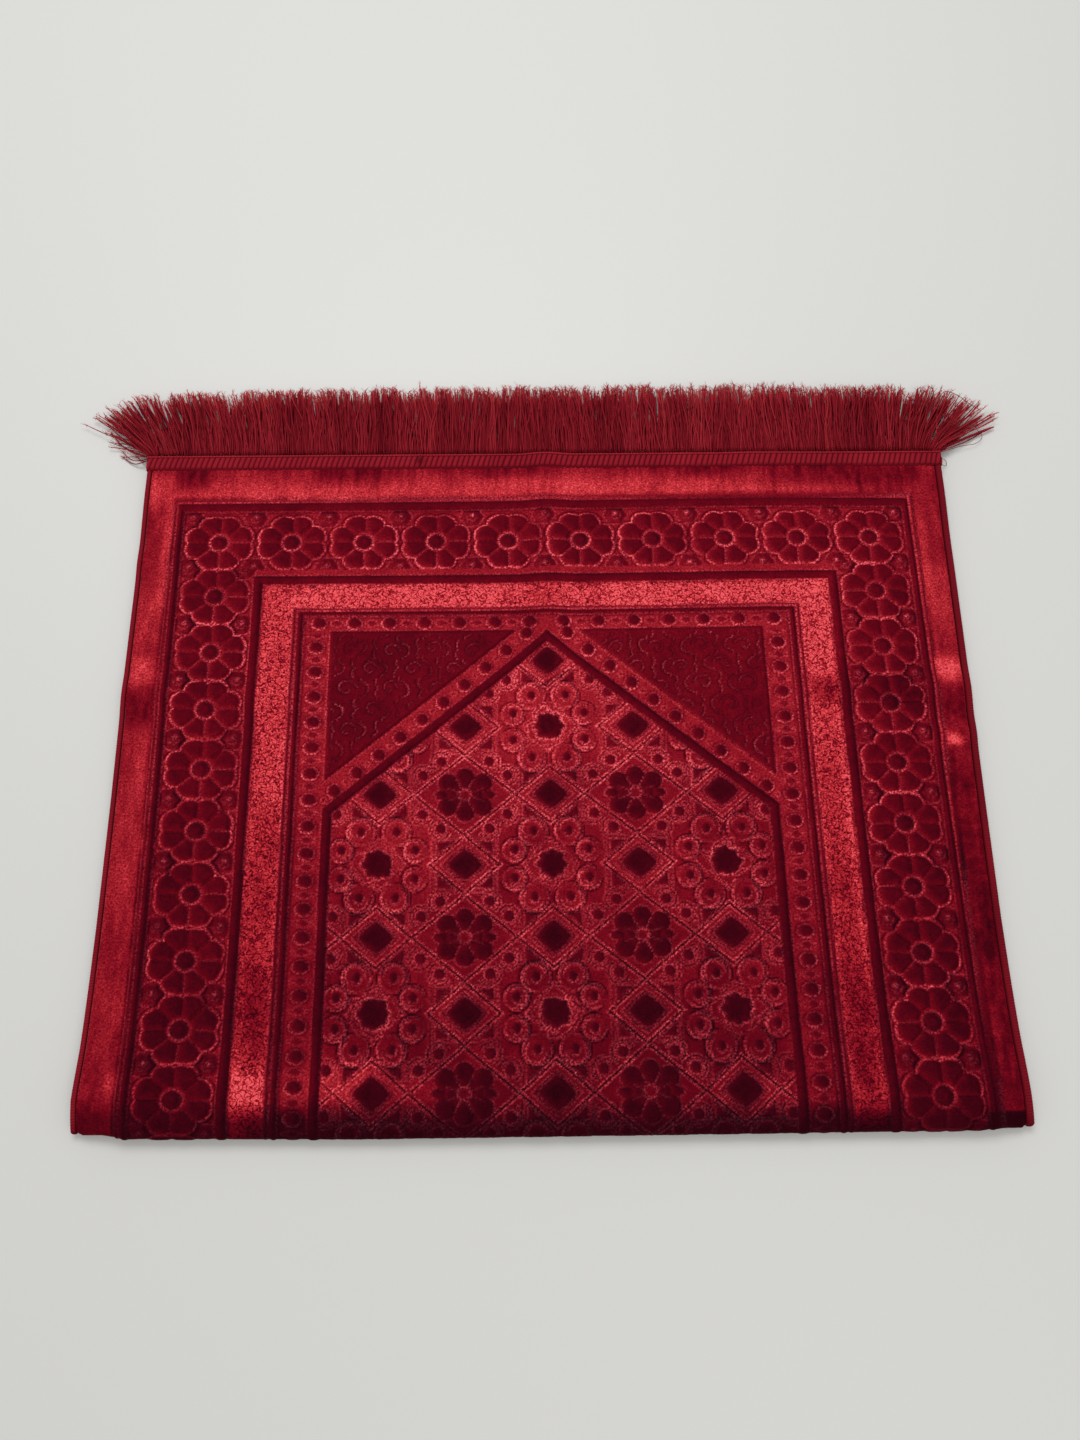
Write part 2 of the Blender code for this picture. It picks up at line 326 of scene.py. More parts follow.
# Painted sheen and painted shade where the low pile is brushed to the light or away from it: (u, v, reach in u, reach
# in v, amount)
SHEEN_PATCHES = (
    # the top margin
    (-24.0, 52.4, 9.0, 1.1, 0.19),
    (-6.0, 52.5, 12.0, 1.3, 0.20),
    (11.0, 52.4, 9.0, 1.3, 0.20),
    (24.0, 52.0, 5.0, 0.8, 0.14),
    (-33.9, 53.0, 0.9, 1.5, 0.20),
    (-30.6, 53.9, 1.5, 1.2, -0.20),
    (-16.5, 54.0, 3.6, 1.0, -0.17),
    (-3.0, 54.3, 3.0, 0.6, -0.12),
    (14.5, 54.2, 2.2, 0.7, -0.18),
    (24.0, 53.9, 4.5, 1.1, -0.20),
    (0.0, 54.9, 32.0, 0.7, -0.10),
    (20.3, 53.0, 0.25, 1.5, -0.24),
    (27.8, 52.8, 0.22, 1.2, -0.24),
    (31.5, 53.3, 3.0, 1.6, -0.20),
    (32.4, 52.5, 1.2, 0.9, 0.15),
    # the left margin
    (-32.6, 47.0, 0.4, 7.0, 0.22),
    (-34.2, 47.0, 1.0, 5.0, -0.02),
    (-33.7, 40.5, 1.4, 3.0, 0.10),
    (-33.7, 35.9, 1.6, 1.2, 0.26),
    (-33.7, 32.6, 1.9, 1.6, -0.24),
    (-33.0, 27.5, 0.8, 3.2, 0.16),
    (-33.4, 20.0, 1.6, 5.0, 0.03),
    (-33.5, 10.0, 1.9, 5.0, -0.05),
    (-32.6, 3.0, 0.5, 0.9, 0.18),
    (-34.0, 3.0, 1.6, 3.0, -0.06),
    # the right margin
    (33.6, 49.0, 1.6, 3.5, -0.08),
    (32.7, 46.0, 0.5, 4.0, 0.18),
    (33.6, 42.0, 1.6, 3.6, 0.10),
    (33.4, 35.4, 1.4, 1.1, 0.46),
    (33.6, 32.6, 1.9, 1.6, -0.19),
    (32.7, 29.4, 0.7, 0.6, 0.40),
    (33.3, 29.2, 0.6, 0.4, 0.28),
    (33.2, 27.0, 2.3, 2.0, -0.05),
    (33.7, 22.0, 1.9, 8.0, -0.22),
    (33.7, 8.0, 1.9, 9.0, -0.26),
    # the curled band
    (-22.7, 38.0, 1.5, 9.0, -0.07),
    (22.7, 40.0, 1.5, 6.5, 0.05),
    (22.7, 33.6, 1.6, 1.2, -0.30),
    (22.4, 24.5, 1.4, 6.5, -0.16),
    (23.75, 22.0, 0.35, 14.0, 0.13),
    (-22.7, 17.0, 1.5, 7.0, -0.28),
    (-22.7, 7.5, 1.5, 4.0, -0.36),
    (-22.7, 3.1, 1.5, 1.2, 0.26),
    (0.0, 42.6, 21.0, 1.3, 0.07),
    (22.7, 14.0, 1.5, 6.0, -0.26),
    (22.7, 5.5, 1.5, 5.5, -0.40),
    (0.0, 42.3, 1.6, 1.0, -0.22),
    (-19.2, 2.9, 1.9, 1.1, 0.36),
    # the daisy border, painted shade where a shallow crease crosses it
    (28.0, 33.5, 3.1, 1.7, -0.55),
    (-28.0, 35.0, 3.0, 1.2, -0.25),
    # the field
    (-15.4, 3.4, 2.5, 1.5, 0.34),
    (-10.5, 2.9, 3.0, 1.0, 0.16),
    (0.0, 33.0, 6.5, 4.5, 0.09),
    (-12.0, 21.5, 5.0, 4.0, 0.06),
    (0.0, 5.0, 15.0, 4.0, -0.04),
    (9.0, 10.0, 8.0, 7.0, -0.03),
    (15.0, 22.0, 2.5, 6.0, -0.05),
)


class Relief:
    """Height above the back in mm, and how the pile looks, worked out shape by shape."""

    def __init__(self, u, v):
        self.u, self.v = u, v
        self.h = np.full(u.shape, 3.0)
        self.tone = np.full(u.shape, 0.53)
        # the two channels below hold painted highlight along lit edges and painted shade in grooves and recesses
        self.painted_highlight = np.zeros(u.shape)
        self.shade = np.zeros(u.shape)
        self.curl = np.zeros(u.shape)
        self.soft = np.ones(u.shape)  # how much the brushing's painted sheen and the blotches show: low pile shows them, high pile hardly
        self.edge = np.full(u.shape, 9.0)

    def lay(self, d, high, tone, ramp=0.13, bright=0.5, where=1.0, soft=0.15, line=0.065):
        """Raises or sinks the area where d is negative, with a slope of that width and a painted highlight along its
        edge.
        """
        up = step(0.0, -ramp, d) * where
        inside = step(0.035, -0.045, d) * where
        self.h += (high - self.h) * up
        self.tone += (tone - self.tone) * inside
        self.soft += (soft - self.soft) * inside
        self.curl *= 1 - inside
        self.shade *= 1 - inside
        glow = bright * np.exp(-(((d - 0.01) / line) ** 2)) * where
        self.painted_highlight = np.maximum(self.painted_highlight * (1 - inside), glow)
        near = (np.abs(d) < np.abs(self.edge)) & (np.asarray(where) * np.ones_like(d) > 0.5)
        self.edge = np.where(near, d, self.edge)

    def score(self, d, half, depth=0.5, dark=0.6, light=0.5, where=1.0, gap=0.13):
        """A pressed line where abs(d) is small: painted shade at its bottom, with painted highlights on its lips."""
        groove = np.exp(-((d / half) ** 2)) * where
        lips = np.exp(-(((np.abs(d) - gap) / 0.07) ** 2)) * where
        self.h -= depth * groove
        self.h += 0.35 * lips
        self.shade = np.maximum(self.shade, dark * groove)
        self.painted_highlight = np.maximum(self.painted_highlight, light * lips)


def rect(a, v, size):
    return np.maximum(a - size[0], v - size[1])


def diamond(x, y, a, b, power=1.0):
    r = (np.abs(x / a) ** power + np.abs(y / b) ** power) ** (1 / power)
    return (r - 1) * a * b / math.hypot(a, b)


def ellipse(x, y, a, b):
    return (np.hypot(x / a, y / b) - 1) * min(a, b)


def nearest(x, pitch):
    return np.round(x / pitch)


# How far the woven design has crept from straight, in cm: (power of x, power of y, across, along)
CREEP = (
    (0, 0, -0.220, -0.027), (0, 1, 0.363, 0.099), (0, 2, -0.032, -0.290), (0, 3, 0.034, -0.239),
    (0, 4, 0.052, 0.321), (1, 0, -0.120, -0.266), (1, 1, 0.205, -0.094), (1, 2, -0.016, 0.200),
    (1, 3, -0.046, -0.117), (2, 0, -0.119, -0.558), (2, 1, -0.018, 0.173), (2, 2, -0.053, 0.295),
    (3, 0, 0.092, 0.259), (3, 1, -0.104, 0.013), (4, 0, 0.258, 0.314),
)


def crept(u, v):
    """Where in the straight design a place on the cloth belongs."""
    x, y = np.clip(u, -31.5, 31.5) / 35, (np.clip(v, 1.0, 51.5) - 26) / 28
    du, dv = np.zeros_like(u), np.zeros_like(v)
    for i, j, a, b in CREEP:
        m = x**i * y**j
        du, dv = du + a * m, dv + b * m
    away = step(-20.0, -2.0, v)
    return u + du * away, v + dv * away


def carve(u, v):
    u, v = crept(u, v)
    r = Relief(u, v)
    a = np.abs(u)
    mirrored = v < MIDDLE
    V = np.where(mirrored, 2 * MIDDLE - v, v)
    waver = 0.05 * (fbm(u * 0.35, v * 0.35, 5) - 0.5)
    falloff_shade = 1 - step(-4.0, 40.0, v)  # painted shade, stronger the nearer the fold

    d_plain = rect(a, V, EDGE_PLAIN)
    d_band = rect(a, V, WIDE_IN)
    d_second_out, d_second_in = rect(a, V, SECOND_OUT), rect(a, V, SECOND_IN)
    d_curl_in = rect(a, V, CURL_IN)
    d_third_in = rect(a, V, THIRD_IN)

    # grounds
    def ground(inside, h, tone, soft):
        r.h[inside], r.tone[inside], r.soft[inside] = h, tone, soft

    r.curl[d_plain > 0.1] = 0.24
    r.tone[d_plain > 0.1] += 0.015
    ground(d_plain < 0, 3.5, 0.50, 0.25)
    ground(d_second_in < 0, 3.9, 0.88, 1.0)
    r.curl[d_second_in < 0] = 1.0
    ground(d_curl_in < 0, 3.6, 0.5, 0.5)
    r.curl[d_curl_in < 0] = 0.0
    ground(d_third_in < 0, 3.6, 0.52, 0.6)

    # ---- daisy border
    zone = ((d_band < 0) & (d_second_out > 0)).astype(float)
    over = V > DAISY_TOP - DAISY_PITCH_V / 2
    i = np.clip(nearest(a - DAISY_PITCH_U / 2, DAISY_PITCH_U), 0, 4)
    k = nearest(DAISY_TOP - v, DAISY_PITCH_V)
    p = np.where(over, a - DAISY_PITCH_U / 2 - DAISY_PITCH_U * i, a - DAISY_X)
    q = np.where(over, V - DAISY_TOP, v - DAISY_TOP + DAISY_PITCH_V * k)
    # rosettes between the flowers
    ri = np.clip(nearest(a, DAISY_PITCH_U), 0, 5)
    rx = np.where(over, a - np.where(ri == 5, 30.45, np.where(ri == 4, 25.0, DAISY_PITCH_U * ri)), 0)
    rx = np.where(over, rx, np.where(a > DAISY_X, a - 30.42, a - 25.68))
    ry = np.where(over, np.where(V > DAISY_TOP, V - 49.98, V - 45.28), 0)
    kk = nearest(DAISY_TOP - DAISY_PITCH_V / 2 - v, DAISY_PITCH_V)
    ry = np.where(over, ry, v - (DAISY_TOP - DAISY_PITCH_V / 2) + DAISY_PITCH_V * kk)
    rt = np.arctan2(ry, rx)
    d = (np.hypot(rx / 0.99, ry / 0.93) - (1 + 0.05 * np.cos(6 * rt))) * 0.95
    r.lay(d, 5.2, 0.34, 0.85, 0.32, zone, 0.2)
    r.tone -= 0.05 * step(0.1, 0.6, -d) * zone * (d < 0)
    # painted shade just outside each rosette
    r.shade = np.maximum(r.shade, 0.24 * np.exp(-(((d - 0.09) / 0.08) ** 2)) * zone)
    dimple = np.exp(-(((np.hypot(rx, ry) - 0.36) / 0.10) ** 2)) * zone
    r.h -= 0.35 * dimple
    # a painted highlight spot near each rosette's middle, where the pile dips, and a painted highlight ring on one side
    # of it
    spot = np.exp(-((np.hypot(rx + 0.05, ry - 0.10) / 0.20) ** 2)) * zone * step(0, 0.3, -d)
    r.painted_highlight = np.maximum(r.painted_highlight, 0.80 * spot)
    r.painted_highlight = np.maximum(r.painted_highlight, 0.30 * np.exp(-(((np.hypot(rx, ry) - 0.42) / 0.09) ** 2)) * zone * step(0.3, -0.5, ry - 0.4 * rx))
    r.h -= 0.5 * spot
    # flowers: eight domed petals round a ring
    P, Q = p / 2.96, q / 2.60
    rr, th = np.hypot(P, Q), np.arctan2(Q, P)
    th = th + 0.03 * np.sin(3 * th + 1.7 * k)
    notch = 1 - np.abs(np.sin(4 * th)) ** 0.55
    outline = 1.01 - notch * (0.12 + 0.09 * np.abs(np.sin(2 * th)))
    d_out = (rr - outline) * 2.74
    phi = np.mod(th + math.pi / 8, math.pi / 4) - math.pi / 8
    cut = np.abs(np.sin(phi)) * np.hypot(p, q)
    re = np.hypot(p, q * 1.05)
    ragged = 0.20 * (fbm(u * 1.9, v * 1.9, 53, 2) - 0.5)
    # each flower is lit a little more on one side than on the other
    lean = 0.76 + 0.26 * np.cos(th + 1.7 * np.where(over, i, k) + 2.0 * (u > 0))
    r.lay(d_out + ragged, 4.0, 0.40, 0.12, (1.06 - 0.22 * (~over)) * lean, zone, 0.25, 0.075)
    petal = np.maximum(np.maximum(d_out + 0.15 + ragged, 0.075 - cut), 1.02 - re)
    r.lay(petal, 4.9, 0.36, 0.20, 0.0, zone, 0.12)
    middle = np.maximum(np.maximum(d_out + 0.15, 0.20 - 0.55 * cut), 1.25 - re)
    dome = step(0.0, 1.0, -middle - 0.1) * zone * (petal < 0)
    swell = np.sqrt(np.clip(-petal / 0.85, 0, 1)) * zone
    r.h += 1.0 * swell * (petal < 0)
    # painted shade: petals darker toward their swollen middles, more so on one side
    r.tone -= (0.12 * swell * (petal < 0) + 0.03 * dome) * (1 + 0.35 * step(-0.5, 1.5, p))
    # painted highlight on the lower side of the cuts between petals, painted shade on their upper side
    lower = step(0.5, -0.7, q + 0.35 * p)
    lines = np.exp(-((cut / 0.055) ** 2)) * (re > 1.0) * (d_out < -0.1) * zone
    r.painted_highlight = np.maximum(r.painted_highlight, (0.06 + 0.30 * lower) * lines)
    r.shade = np.maximum(r.shade, (0.50 - 0.35 * lower) * lines)
    r.lay(re - 0.64, 5.0, 0.26, 0.34, 0.1, zone, 0.2)
    r.tone -= 0.05 * np.exp(-(((re - 0.36) / 0.12) ** 2)) * zone
    # a painted highlight ring round the centre, stronger on one side, and painted shade rings inside it and just
    # outside the flower
    ring = np.exp(-(((re - 0.81) / 0.085) ** 2)) * zone * (0.55 + 0.50 * step(-0.9, 0.7, p - q))
    r.painted_highlight = np.maximum(r.painted_highlight, (0.92 - 0.30 * (~over)) * ring)
    r.h -= 0.5 * ring
    r.shade = np.maximum(r.shade, 0.35 * np.exp(-(((re - 0.66) / 0.07) ** 2)) * zone)
    r.shade = np.maximum(r.shade, 0.65 * np.exp(-(((d_out - 0.19) / 0.09) ** 2)) * zone)

    # ---- band of dots
    d_spandrel = np.maximum(
        rect(a, V, SPANDREL), -(v + ARCH_SLOPE * a - 41.40) / math.hypot(1, ARCH_SLOPE)
    )
    d_field = np.maximum(a - ARCH_X, (v + ARCH_SLOPE * a - ARCH_TOP) / math.hypot(1, ARCH_SLOPE))
    d_field = np.where(mirrored, np.maximum(a - ARCH_X, V - 38.6), d_field)
    zone = ((d_third_in < 0) & (d_field > 0)).astype(float)

    def dot(d, x, y, use):
        """A small raised boss: painted shade in a ring round it, a painted highlight on its near side."""
        r.shade = np.maximum(r.shade, 0.42 * np.exp(-(((d - 0.09) / 0.07) ** 2)) * use)
        r.lay(d, 5.1, 0.32, 0.30, 0.0, use)
        facing = 0.35 + 0.65 * step(0.5, -0.7, (y - 0.5 * x) / np.maximum(np.hypot(x, y), 0.05))
        glow = np.exp(-(((d - 0.0) / 0.075) ** 2)) * use * facing
        r.painted_highlight = np.maximum(r.painted_highlight, 0.74 * glow)
        r.tone -= 0.07 * step(0.1, 0.4, -d) * use

    pitch = 2.182
    side = a > 18.25
    qy = v - 3.0 - pitch * nearest(v - 3.0, pitch)
    use = (side & (V < 39.05)).astype(float) * zone
    d = ellipse(a - 19.28, qy, 0.66, 0.54)
    dot(d, a - 19.28, qy, use)
    qh = v - 3.0 - pitch / 2 - pitch * nearest(v - 3.0 - pitch / 2, pitch)
    d = diamond(a - 19.28, qh, 0.52, 0.34, 1.3)
    r.lay(d, 4.0, 0.38, 0.1, 0.26, use)
    for side_x in (18.62, 19.94):
        d = np.hypot(a - side_x, qh) - 0.13
        r.lay(d, 4.0, 0.44, 0.1, 0.3, use)
    pitch = 2.95
    px = a - 1.42 - pitch * np.maximum(0, nearest(a - 1.42, pitch))
    use = ((V > 39.45)).astype(float) * zone
    d = ellipse(px, V - 40.08, 0.66, 0.54)
    dot(d, px, V - 40.08, use)
    ph = a - 1.42 - pitch / 2 - pitch * np.maximum(0, nearest(a - 1.42 - pitch / 2, pitch))
    d = diamond(ph, V - 40.08, 0.56, 0.30, 1.3)
    r.lay(d, 4.0, 0.38, 0.1, 0.26, use)
    t = ((a - 1.70) * 1.73 + (39.05 - v) * 1.5) / (1.73**2 + 1.5**2)
    kd = np.clip(np.round(t), 0, 9)
    dx, dy = a - 1.70 - 1.73 * kd, v - (39.05 - 1.5 * kd)
    dot(np.hypot(dx, dy) - 0.58, dx, dy, zone * (~mirrored))
    kh = np.clip(np.round(t - 0.5), 0, 9) + 0.5
    d = np.hypot(a - 1.70 - 1.73 * kh, v - (39.05 - 1.5 * kh)) - 0.2
    r.lay(d, 4.0, 0.44, 0.1, 0.35, zone * (~mirrored))

    # ---- spandrels: high pile with lace pressed into it
    use = (~mirrored).astype(float)
    r.lay(d_spandrel, 5.4, 0.28 + 0.04 * (u > 0), 0.25, 0.30, use)
    inside = step(-0.30, -0.60, d_spandrel) * use
    lace_u = a - 18.2 + 0.8 * (fbm(u * 0.4, v * 0.4, 33, 2) - 0.5)
    lace_v = v - 39.4 + 0.8 * (fbm(u * 0.4, v * 0.4, 35, 2) - 0.5)
    scale_v = nearest(lace_v, 1.75)
    odd = np.mod(scale_v, 2)
    lu = lace_u - odd * 1.75 - 3.5 * nearest(lace_u - odd * 1.75, 3.5)
    lv = lace_v - 1.75 * scale_v
    rho, turn = np.hypot(lu, lv), np.arctan2(lv, lu)
    scallop = rho - 1.10 - 0.42 * np.abs(np.sin(2.5 * turn))
    arcs = np.minimum(np.abs(scallop), np.abs(rho - 0.42 - 0.10 * turn) + 0.02)
    worn = step(0.30, 0.66, fbm(u * 0.40, v * 0.40, 31))
    # the pressed lace: sunk lines with painted highlights, and painted shade beside them
    lace = np.exp(-((arcs / 0.075) ** 2)) * inside * (0.30 + 0.70 * worn)
    r.h -= 0.8 * lace
    r.painted_highlight = np.maximum(r.painted_highlight, 0.50 * lace * (0.25 + 0.75 * worn))
    r.shade = np.maximum(r.shade, 0.24 * np.exp(-(((arcs - 0.13) / 0.08) ** 2)) * inside)

    # ---- the field inside the arch
    zone = (d_field < -ARCH_HALF + 0.12).astype(float)
    sel = np.nonzero(zone.ravel() > 0)[0]
    f = Relief(u.ravel()[sel], v.ravel()[sel])
    f.h[:], f.tone[:], f.soft[:] = 3.9, 0.46, 1.0
    fu, fv = f.u / LATTICE_U, (f.v - LATTICE_START) / LATTICE_V
    nodes = []
    for di in (0, 1):
        for dj in (0, 1):
            i, j = np.floor(fu) + di, np.floor(fv) + dj
            x, y = f.u - LATTICE_U * i, f.v - LATTICE_START - LATTICE_V * j
            even_i, even_j = np.mod(i, 2) == 0, np.mod(j, 2) == 0
            nodes.append((x, y, even_i == even_j, ~even_i & even_j, even_i & ~even_j))
    for x, y, is_diamond, is_flower, is_star in nodes:
        on = is_diamond.astype(float)
        line = diamond(x, y, 2.72, 2.30)
        f.lay(line, 4.2, 0.48, 0.12, 0.0, on, 1.0)
        f.score(line, 0.05, 0.8, 0.50, 1.0, on, 0.14)
        X, Y = np.abs(x), np.abs(y)
        tri = np.maximum(np.maximum(0.20 - line, X - 2.22), Y - 1.88)
        f.lay(tri, 4.9, 0.30, 0.16, 0.40, on, line=0.08)
        tri = np.maximum(np.maximum(0.20 - line, X - 2.55), Y - 2.18)
        f.score(tri, 0.05, 0.25, 0.20, 0.30, on * (line > 0.2) * (X + Y > 1.2), 0.08)
        on = is_flower.astype(float)
        line = diamond(x, y, 4.05, 3.28)
        f.lay(line, 4.1, 0.45, 0.12, 0.0, on, 1.0)
        f.score(line, 0.05, 0.8, 0.55, 0.92, on, 0.14)
    for x, y, is_diamond, is_flower, is_star in nodes:
        X, Y = np.abs(x), np.abs(y)
        on = is_star.astype(float)
        turn = np.arctan2(y, x)
        # a ragged ring of loose tufts round the star, pressed in, with painted highlights on its lips and painted shade
        # at its bottom
        halo = diamond(x, y, 2.15, 1.95, 1.15)
        halo = halo + 0.9 * (fbm(f.u * 1.3, f.v * 1.3, 59, 2) - 0.5)
        f.score(halo, 0.05, 0.3, 0.22, 0.62, on, 0.12)
        for cx, cy, ring in ((1.40, 2.62, 1.14), (2.90, 1.13, 0.95)):
            lx, ly = X - cx, Y - cy
            rho = np.hypot(lx, ly)
            open_at = np.arctan2(-cy, cx) if cx > 2 else np.arctan2(-cy, -cx)
            away = np.abs(np.mod(np.arctan2(ly, lx) - open_at + math.pi, 2 * math.pi) - math.pi)
            f.lay(rho - ring, 4.4, 0.46, 0.20, 0.0, on, 1.0)
            lit = on * (0.25 + 0.75 * step(0.35, 1.0, away)) * (0.55 + 0.45 * step(-0.9, 0.6, -lx * np.sign(x) * 0.6 - ly * np.sign(y)))
            f.painted_highlight = np.maximum(f.painted_highlight, 1.0 * lit * np.exp(-(((rho - ring + 0.06) / 0.085) ** 2)))
            f.h += 0.35 * lit * np.exp(-(((rho - ring + 0.10) / 0.12) ** 2))
            groove = np.exp(-(((rho - ring - 0.10) / 0.065) ** 2)) * on * step(0.2, 0.8, away)
            f.h -= 0.6 * groove
            f.shade = np.maximum(f.shade, 0.62 * groove)
            spiral = ring * (0.50 + 0.115 * away)
            swirl = np.exp(-(((rho - spiral) / 0.095) ** 2)) * step(0.9, 1.7, away) * on
            f.painted_highlight = np.maximum(f.painted_highlight, 0.66 * swirl)
            f.h += 0.3 * swirl
            dark = np.exp(-(((rho - spiral - 0.16) / 0.06) ** 2)) * step(0.9, 1.5, away) * on
            f.shade = np.maximum(f.shade, 0.38 * dark)
            f.h -= 0.4 * dark
            # the hook's dark eye, run out into a tail along the spiral
            eye = np.hypot(lx + 0.07 * np.sign(lx), ly) - 0.45
            f.lay(eye, 5.1, 0.27, 0.26, 0.0, on)
            facing = step(0.4, -0.6, (ly * np.sign(y) - 0.4 * lx * np.sign(x)) / np.maximum(rho, 0.05))
            f.painted_highlight = np.maximum(f.painted_highlight, 0.62 * on * (0.05 + 0.95 * facing) * np.exp(-(((eye - 0.02) / 0.08) ** 2)))
            f.tone -= 0.06 * step(0.1, 0.4, -eye) * on
        rho, th = np.hypot(x, y * 1.04), np.arctan2(y, x)
        body = rho - (1.22 + 0.07 * np.cos(8 * th)) + 0.42 * (fbm(f.u * 1.7, f.v * 1.7, 57, 2) - 0.5)
        f.lay(body, 5.4, 0.24, 0.40, 0.80, on, line=0.13)
        f.tone -= 0.10 * step(0.15, 0.8, -body) * on
        on = is_diamond.astype(float)
        inner = diamond(x, y, 1.86, 1.58, 1.08)
        # a painted highlight line round the diamond's body, and painted shade just outside the body
        frame_line = np.exp(-((inner / 0.075) ** 2)) * on
        f.painted_highlight = np.maximum(f.painted_highlight, 0.52 * frame_line)
        f.h += 0.25 * frame_line
        body = diamond(x, y, 1.42, 1.26, 1.22)
        f.shade = np.maximum(f.shade, 0.30 * np.exp(-(((body - 0.10) / 0.08) ** 2)) * on)
        f.lay(body, 5.5, 0.22, 0.24, 0.30, on, line=0.085)
        f.tone -= 0.09 * step(0.15, 0.6, -body) * on
        on = is_flower.astype(float)
        for cx, cy in ((1.92, 2.76), (3.38, 1.60)):
            rho = np.hypot(X - cx, Y - cy)
            f.score(rho - 0.80, 0.05, 0.4, 0.45, 0.60, on * (X - cx + Y - cy > -0.45), 0.11)
            f.lay(rho - 0.48, 5.0, 0.29, 0.20, 0.60, on, line=0.08)
        top = ellipse(x, Y - 1.46, 0.80, 0.78)
        sides = ellipse(X - 1.36, Y - 0.98, 0.84, 0.80)
        tips = ellipse(X - 1.85, y, 0.62, 0.40)
        heart = ellipse(x, y, 1.50, 1.15)
        petals = np.minimum(np.minimum(top, sides), np.minimum(tips, heart))
        f.lay(petals, 5.4, 0.26, 0.26, 0.34, on)
        dome = np.minimum(np.minimum(top, sides), tips)
        f.tone -= 0.07 * step(0.1, 0.6, -dome) * on
        f.h += 0.35 * step(0.0, 0.6, -dome) * on
        core = np.hypot(x, y * 1.05)
        th = np.arctan2(Y, X)
        # painted highlights along the flower's veins, which are pressed in, and a painted highlight ring round its core
        for angle in (math.radians(62), math.radians(20)):
            cut = np.abs(np.sin(th - angle)) * core
            vein = np.exp(-((cut / 0.06) ** 2)) * (core > 0.4) * (core < 1.55) * (np.cos(th - angle) > 0) * on
            f.painted_highlight = np.maximum(f.painted_highlight, (0.62 if angle > 0.5 else 0.3) * vein)
            f.h -= 0.7 * vein
        ring = np.exp(-(((core - 0.48) / 0.11) ** 2)) * on
        f.painted_highlight = np.maximum(f.painted_highlight, 0.62 * ring)
        f.tone += (0.38 - f.tone) * step(0.5, 0.3, core) * on
        f.h += (4.5 - f.h) * step(0.60, 0.40, core) * on
    for name in ("h", "tone", "painted_highlight", "shade", "soft", "edge"):
        whole = getattr(r, name).ravel()
        whole[sel] = getattr(f, name)
        setattr(r, name, whole.reshape(u.shape))

    # tufts parted by a small crease under the arch's point, with painted shade in it
    crease = v - 35.1 - 0.55 * (u - 0.6) - 0.5 * (fbm(u * 0.9, v * 0.9, 61, 2) - 0.5)
    crease = np.exp(-((crease / 0.16) ** 2)) * np.exp(-(((u - 0.5) / 1.5) ** 4))
    r.h -= 0.7 * crease
    r.tone -= 0.26 * crease

    # ---- the raised lines, over everything they cross
    d = np.abs(d_field + waver) - ARCH_HALF
    r.lay(d, 5.5, 0.22, 0.30, 0.26)
    for outer, inner, high, tone, bright in (
        (EDGE_PLAIN, THIN_IN, 4.6, 0.40, 0.30),
        (WIDE_OUT, WIDE_IN, 5.5, 0.24, 0.22),
        (SECOND_OUT, SECOND_IN, 5.5, 0.24, 0.34),
        (CURL_IN, FINE_IN, 4.6, 0.36, 0.40),
        (THIRD_OUT, THIRD_IN, 5.5, 0.25, 0.30),
    ):
        d = np.maximum(rect(a, V, outer), -rect(a, V, inner)) + waver * 0.5
        wide = outer[0] - inner[0]
        r.lay(d, high, tone, min(0.32, wide * 0.45), bright)
        # painted shade just inside each band's inner edge
        flank = np.exp(-(((rect(a, V, inner) + 0.10) / 0.10) ** 2))
        r.shade = np.maximum(r.shade, (0.45 if wide > 0.4 else 0.2) * flank)
    # painted shade in a sunk gutter just outside the carved area; the painted shade beside each band is laid in the
    # loop above
    gutter = np.exp(-(((d_plain - 0.07) / 0.09) ** 2))
    r.shade = np.maximum(r.shade, 0.55 * gutter)
    r.h -= 0.5 * gutter

    # ---- painted sheen and painted shade where the pile is brushed, with blotches and streaks
    painted_sheen = np.zeros(u.shape)
    for bu, bv, ru, rv, amount in SHEEN_PATCHES:
        painted_sheen += amount * np.exp(-np.abs((u - bu) / ru) ** 3 - np.abs((v - bv) / rv) ** 3)
    blotch = fbm(u * 0.5, v * 0.38, 77, 4) - 0.5
    streak = fbm(u * 2.2, v * 0.33, 87, 3) - 0.5
    painted_sheen *= 0.62 + 0.76 * fbm(u * 2.4, v * 2.4, 79, 2)
    thread = lattice_noise(u * 5.5, v * 0.9, 88) - 0.5
    r.tone += r.soft * (painted_sheen + 0.22 * blotch + (0.20 * streak + 0.15 * thread) * (d_plain > 0))
    r.tone += (1 - r.soft) * 0.10 * blotch
    carved = step(0.2, -0.2, d_plain)
    curled = step(0.1, -0.1, d_second_in) * step(-0.1, 0.1, d_curl_in)
    low = ((d_band < 0) & (d_second_out > 0) & (r.h < 3.9)).astype(float)
    # painted shade toward the fold on the carved part, less on the daisy border's low ground and none on the curled
    # band; painted highlights dimmed with it
    r.tone -= falloff_shade * carved * (1 - curled) * (0.05 + 0.22 * r.tone) * (1 - 0.6 * low)
    r.painted_highlight *= 1 - 0.46 * falloff_shade * carved
